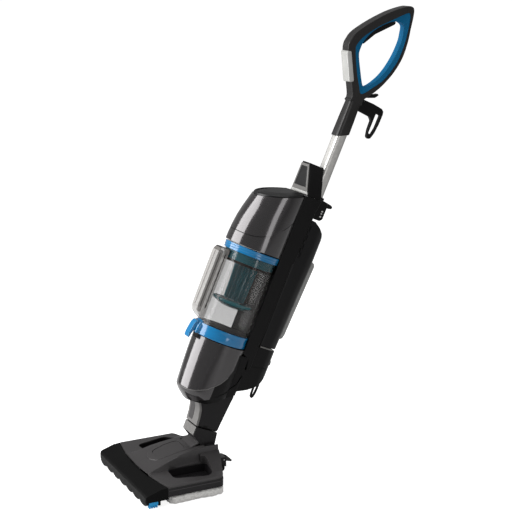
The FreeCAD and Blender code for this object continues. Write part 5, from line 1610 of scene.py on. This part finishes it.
@dataclass
class TopBlock(Assembly):
    """Latch block, tube housing with its blank plate, and the tube."""

    tube_q: float = 42.0
    foot: float = 628.4
    tall: float = 73.6

    def build(self) -> None:
        """Model the block, the housing, the lever and the tube."""
        self.block()
        self.lever()
        self.housing()
        self.tube()

    def block(self) -> None:
        """Black block behind the housing."""
        block = Bench.plate("latch_body", ((37, 583), (60, 583.5), (66, 589), (66, 625),
                                           (59, 630), (37, 630)), 29)
        Bench.soften(block, 3.0, 3, 45)
        bore = Bench.loft("tube_way", [Rounded(15.4, 13.4, 580, 0, self.tube_q, 5),
                                       Rounded(15.4, 13.4, 640, 0, self.tube_q, 5)], 64)
        Bench.cut(block, bore)
        pocket = Bench.block("pocket", (-15.5, 48, 611), (15.5, 90, 640))
        Bench.cut(block, pocket)
        self.hand_over(block, Finishes.BLACK, "upper_body", ("latch_block",), 40)
        for side in (-1, 1):
            for s, tall in ((592, 3.4), (600, 2.2), (605, 3.0)):
                mark = Bench.block("mark", (side * 29.1 - 0.2, 54, s),
                                   (side * 29.1 + 0.2, 58.5, s + tall))
                self.hand_over(mark, Finishes.MARK, "upper_body")

    def lever(self) -> None:
        """Finger lever that frees the water tank."""
        outline = rounded_corners([(50, 631), (50, 621), (66, 618.5), (78, 617.5), (87, 619.5),
                                   (89, 624), (84, 628), (75, 629), (62, 631)], 3, 3)
        lever = Bench.plate("lever_paddle", outline, 14)
        Bench.soften(lever, 1.6, 3, 45)
        self.hand_over(lever, Finishes.BLACK, "water_lever", ("water_lever",), 45)

    def housing(self) -> None:
        """Tapered housing round the tube, with a framed blank plate."""
        cuts = []
        for s, front, rear, half, back in [(self.foot, -5, 37, 41.5, 41), (640, -7, 34.4, 37.8, 38.5),
                                           (668, -11.5, 28.4, 28.9, 32.4),
                                           (690, -15.5, 23.6, 21.9, 27.6),
                                           (702, -17, 21, 18, 25)]:
            corners = [(half, front), (back, rear), (-back, rear), (-half, front)]
            cuts.append(PlanCut(rounded_corners(corners, 5.0, 3), s))
        body = Bench.loft("housing_body", cuts, 16)
        sleeve = Bench.loft("sleeve", [Rounded(19, 17, self.foot, 0, self.tube_q, 5),
                                       Rounded(18.6, 16.6, 637, 0, self.tube_q, 5)], 64)
        Bench.add(body, sleeve)
        way = Bench.loft("way", [Rounded(15.3, 13.3, 620, 0, self.tube_q, 5),
                                 Rounded(15.3, 13.3, 720, 0, self.tube_q, 5)], 64)
        Bench.cut(body, way)
        Bench.soften(body, 1.0, 2, 45)
        self.hand_over(body, Finishes.BLACK, "upper_body", ("tube_housing",), 40)
        frame = self.face("face_frame", 634, 698, 0.0, 1.6)
        self.hand_over(frame, Finishes.NECK_GREY, "upper_body", ("badge_plate",), 40)
        inset = self.face("face_inset", 645, 692, 5.5, 2.2)
        self.hand_over(inset, Finishes.GLOSS_BLACK, "upper_body")
        foot = self.face("face_foot", 629, 636, -1.0, 2.4)
        self.hand_over(foot, Finishes.SILVER, "upper_body")

    def face(self, name: str, low: float, high: float, inset: float,
             proud: float) -> bpy.types.Object:
        """Return a softened plate that lies on the housing's sloping front.

        Args:
            name: the piece's name.
            low: lower end up the body.
            high: upper end up the body.
            inset: how far its sides stand in from the housing's.
            proud: how far it stands out.

        Returns:
            The plate.
        """
        cuts = []
        for s in (low, high):
            share = (s - self.foot) / self.tall
            front = -5 - 12 * share
            half = 39.0 - 22.5 * share - inset
            points = ((-half, front - proud), (half, front - proud), (half, front + 3),
                      (-half, front + 3))
            cuts.append(PlanCut(points, s))
        plate = Bench.loft(name, cuts, 4)
        Bench.soften(plate, min(1.2, proud * 0.6), 3, 45)
        return plate

    def tube(self) -> None:
        """Silver tube with a rounded square section."""
        cuts = [Rounded(15, 13, s, 0, self.tube_q, 4.6) for s in (584, 720, 860)]
        tube = Bench.loft("silver_tube", cuts, 72)
        hole = Bench.loft("hole", [Rounded(13.8, 11.8, s, 0, self.tube_q, 4.6)
                                   for s in (570, 880)], 72)
        Bench.cut(tube, hole)
        self.hand_over(tube, Finishes.TUBE, "upper_body", ("tube",), 40)


# ------------------------------------------------------------------ handle

@dataclass
class Handle(Assembly):
    """Collar and loop, blue liner, trigger, panel, buttons and cord hook."""

    half: float = 14.5
    centre: Pair = (56.0, 1010.0)
    rays: int = 144

    def build(self) -> None:
        """Model the handle's pieces."""
        self.loop()
        self.liner()
        self.trigger()
        self.panel()
        self.hooks()

    def outer(self) -> tuple[Pair, ...]:
        """Return the loop's outer side view."""
        points = [(27, 872), (27, 880), (24, 890), (11, 912), (-9, 945), (-27, 973), (-33, 990),
                  (-32, 1003), (-25, 1024), (3, 1061), (40, 1100), (73, 1126), (89, 1133.5),
                  (99, 1130), (105, 1112), (110, 1085), (116, 1054), (118, 1015), (110, 974),
                  (93, 934), (75, 906), (62, 890), (59, 880), (59, 872)]
        return tuple(smooth_curve(points, 4))

    def rim(self) -> list[Pair]:
        """Return the line between the loop and its liner."""
        return smooth_curve([(-13, 996), (-3, 1021), (24, 1056), (49, 1081), (74, 1105),
                             (88, 1117), (95, 1113), (102, 1091), (109, 1045), (108, 1000),
                             (93, 952), (70, 920), (52, 899), (43, 898), (34, 911), (18, 933),
                             (0, 963), (-11, 985)], 8)

    def opening(self) -> list[Pair]:
        """Return the edge of the finger opening."""
        return smooth_curve([(3, 990), (5, 1014), (17, 1040), (36, 1064), (58, 1082), (78, 1089),
                             (92, 1085), (97, 1070), (101, 1046), (98, 1003), (86, 960),
                             (66, 927), (52, 916), (43, 919), (24, 947), (7, 975)], 8)

    def by_rays(self, line: list[Pair], grow: float = 0.0) -> tuple[Pair, ...]:
        """Meet a closed line with rays from the middle of the opening.

        Args:
            line: the closed line.
            grow: how far the meeting points move outwards.

        Returns:
            One point for every ray.
        """
        middle = Vector(self.centre)
        result = []
        for number in range(self.rays):
            turn = 2 * math.pi * number / self.rays
            ray = Vector((math.cos(turn), math.sin(turn)))
            side = Vector((-ray.y, ray.x))
            best = 0.0
            for index, point in enumerate(line):
                a = Vector(point) - middle
                b = Vector(line[(index + 1) % len(line)]) - middle
                low, high = a.dot(side), b.dot(side)
                if low * high <= 0 and abs(low - high) > 1e-9:
                    spot = a + (b - a) * (low / (low - high))
                    best = max(best, spot.dot(ray))
            spot = middle + ray * (best + grow)
            result.append((spot.x, spot.y))
        return tuple(result)

    def loop(self) -> None:
        """Black loop and collar, softened all round."""
        body = Bench.plate("loop_body", self.outer(), self.half)
        Bench.soften(body, 4.6, 5, 50)
        rim = self.by_rays(self.rim())
        Bench.cut(body, Bench.plate("opening", rim, 30))
        cuts = []
        for s, wide, deep in [(776, 18, 16.5), (830, 16.9, 16.1), (870, 15.2, 15.4),
                              (888, 14.2, 14.2)]:
            cuts.append(Rounded(wide, deep, s, 0, 42.5, 4.6))
        collar = Bench.loft("collar", cuts, 64)
        slant = Bench.plate("slant", ((0, 700), (80, 700), (80, 807), (0, 773)), 40)
        Bench.cut(collar, slant)
        Bench.soften(collar, 1.4, 3, 45)
        Bench.add(body, collar)
        way = Bench.loft("way", [Rounded(15.3, 13.3, 700, 0, 42, 4.6),
                                 Rounded(15.3, 13.3, 860.6, 0, 42, 4.6)], 72)
        Bench.cut(body, way)
        self.hand_over(body, Finishes.HANDLE, "upper_body", ("handle_left", "handle_right"), 40)

    def liner(self) -> None:
        """Blue liner that slopes in from the rim to the opening."""
        liner = Bench.plate("liner_body", self.by_rays(self.rim(), -0.2), self.half - 0.7)
        hole = self.by_rays(self.opening())
        flare = self.by_rays(self.rim(), -2.0)
        cutter = Bench.loft("cutter", [SideCut(flare, -15.2), SideCut(flare, -13.4),
                                       SideCut(hole, -9.5), SideCut(hole, 9.5),
                                       SideCut(flare, 13.4), SideCut(flare, 15.2)], self.rays)
        Bench.cut(liner, cutter)
        space = Bench.plate("space", self.trigger_outline(3.4), 8.2)
        Bench.cut(liner, space)
        Bench.soften(liner, 0.9, 3, 45)
        self.hand_over(liner, Finishes.LINER, "upper_body", ("grip_liner",), 50)

    def trigger_outline(self, grow: float) -> tuple[Pair, ...]:
        """Return the trigger's side view, grown a little for its space."""
        points = [(8 - grow, 1006 - 2 * grow), (28 + grow, 1038 - 2 * grow),
                  (55 + grow, 1065 - 2 * grow), (68 + grow, 1078 - 2 * grow),
                  (70 + 2 * grow, 1084), (61 + grow, 1088 + grow), (36 - grow, 1071 + grow),
                  (14 - grow, 1044 + grow), (4 - 2 * grow, 1022 + grow)]
        return tuple(points)

    def trigger(self) -> None:
        """Black trigger under the top bar."""
        lever = Bench.plate("trigger_lever", self.trigger_outline(0.0), 7.4)
        Bench.soften(lever, 2.0, 3, 45)
        self.hand_over(lever, Finishes.RUBBER, "steam_trigger", ("steam_trigger",), 50)

    def panel(self) -> None:
        """Silver saddle on the front of the loop, with its two buttons."""
        outline = ((-29.2, 975), (-30.2, 971), (4, 912), (7, 911.5), (15, 916), (13.5, 921),
                   (-18.5, 975), (-21, 977.5))
        saddle = Bench.plate("panel_saddle", outline, 15.1)
        Bench.soften(saddle, 1.4, 3, 45)
        core = Bench.plate("core", ((-15, 985), (-22, 968), (7, 922), (18, 905), (45, 905),
                                    (45, 985)), 13.9)
        Bench.cut(saddle, core)
        self.hand_over(saddle, Finishes.SILVER, "upper_body", ("control_panel",), 40)
        for name in ("vacuum_button", "steam_button"):
            self.refit(name, Finishes.HEAD_DARK, name, 0.5)

    def hooks(self) -> None:
        """Turning cord hook, and the clip above it."""
        outline = ((63.8, 889), (96, 889), (122, 886.5), (129, 882), (130.5, 874), (130, 850),
                   (127, 826), (122, 811), (116, 807.5), (110.5, 811), (107, 827), (106, 850),
                   (98, 857), (63.8, 859), (60.3, 867), (60.3, 881))
        hook = Bench.plate("hook_body", outline, 5.5)
        slot = rounded_corners([(111, 820), (120.5, 820), (124.4, 838), (124.8, 870),
                                (111.4, 870)], 3, 3)
        Bench.cut(hook, Bench.plate("slot", slot, 20))
        Bench.soften(hook, 1.6, 3, 45)
        self.hand_over(hook, Finishes.BLACK, "cord_hook", ("cord_hook",), 45)
        clip = Bench.plate("clip_body", ((64, 893), (74, 896), (92, 903), (99, 912), (96, 915),
                                         (86, 909), (72, 906)), 6)
        Bench.soften(clip, 0.8, 2, 40)
        self.hand_over(clip, Finishes.BLACK, "upper_body", ("cord_clip",), 45)


# ------------------------------------------------------------------ studio

@dataclass(frozen=True)
class Softbox:
    """Rectangular light that looks at a point."""

    name: str
    place: tuple[float, float, float]
    target: tuple[float, float, float]
    wide: float
    tall: float
    power: float

    def build(self) -> None:
        """Add the light."""
        bpy.ops.object.light_add(type="AREA", location=self.place)
        lamp = bpy.context.object
        lamp.name = self.name
        lamp.data.shape = "RECTANGLE"
        lamp.data.size = self.wide
        lamp.data.size_y = self.tall
        lamp.data.energy = self.power
        aim = Vector(self.target) - Vector(self.place)
        lamp.rotation_euler = aim.to_track_quat("-Z", "Y").to_euler()


@dataclass(frozen=True)
class Studio:
    """Pale floor, soft light and the camera."""

    camera_place: tuple[float, float, float] = (2.687, -1.1265, 1.256)
    yaw: float = 63.40
    pitch: float = 13.94
    lens: float = 93.2
    ambient: float = 0.28

    def build(self) -> None:
        """Add floor, world, lights and camera."""
        self.floor()
        self.world()
        middle = (0.0, 0.25, 0.5)
        Softbox("key", (-0.8, -1.7, 1.36), (0.0, 0.3, 0.6), 1.8, 2.6, 86).build()
        Softbox("top", (0.3, 0.2, 2.9), middle, 2.2, 2.2, 26).build()
        Softbox("side", (2.9, 0.6, 1.0), middle, 0.8, 1.8, 12).build()
        bpy.context.scene.view_settings.view_transform = "Standard"
        self.camera()

    def floor(self) -> None:
        """Pale floor that glows to camera rays only."""
        bpy.ops.mesh.primitive_plane_add(size=80, location=(0, 0, -0.0005))
        ground = bpy.context.object
        ground.name = "pale_floor"
        pale = Plastic("pale_floor_finish", (0.60, 0.60, 0.60), Sheen.MATTE, grain=0.01,
                       drift=0.01, specular=0.1).build()
        tree = Tree(pale.node_tree)
        shader = pale.node_tree.nodes["Principled BSDF"]
        shader.inputs["Emission Color"].default_value = (1, 1, 1, 1)
        lift = tree.add("ShaderNodeMapRange", To_Min=0.0, To_Max=0.86)
        tree.join(tree.add("ShaderNodeLightPath").outputs["Is Camera Ray"], lift.inputs["Value"])
        tree.join(lift.outputs["Result"], shader.inputs["Emission Strength"])
        ground.data.materials.append(pale)

    def world(self) -> None:
        """White surroundings to the camera, and a dim even light to the machine."""
        world = bpy.data.worlds.new("studio")
        world.use_nodes = True
        tree = Tree(world.node_tree)
        shade = world.node_tree.nodes["Background"]
        shade.inputs["Color"].default_value = (1, 1, 1, 1)
        seen = tree.add("ShaderNodeMapRange", To_Min=self.ambient, To_Max=1.0)
        tree.join(tree.add("ShaderNodeLightPath").outputs["Is Camera Ray"], seen.inputs["Value"])
        tree.join(seen.outputs["Result"], shade.inputs["Strength"])
        bpy.context.scene.world = world

    def camera(self) -> None:
        """Camera at the view the machine is shown from."""
        yaw, pitch = math.radians(self.yaw), math.radians(self.pitch)
        back = Vector((math.sin(yaw) * math.cos(pitch), -math.cos(yaw) * math.cos(pitch),
                       math.sin(pitch)))
        bpy.ops.object.camera_add(location=self.camera_place)
        camera = bpy.context.object
        camera.rotation_euler = (-back).to_track_quat("-Z", "Y").to_euler()
        camera.data.lens = self.lens
        bpy.context.scene.camera = camera


def main() -> None:
    """Build every sub-assembly around the frame."""
    logging.basicConfig(level=logging.INFO, format="%(message)s")
    random.seed(7)
    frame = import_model()
    bpy.context.view_layer.update()
    bpy.ops.object.select_all(action="DESELECT")
    dress_frame(frame)
    head = head_place(frame)
    body = body_place(frame)
    for assembly in (FloorHead(frame, head), MopPad(frame, head), Neck(frame, body),
                     BodyShells(frame, body), DirtTank(frame, body), WaterTank(frame, body),
                     TopBlock(frame, body), Handle(frame, body)):
        assembly.build()
        LOG.info("%s: %d pieces", type(assembly).__name__, len(assembly.made))
    Studio().build()
    bpy.context.view_layer.update()


if __name__ == "__main__":
    main()
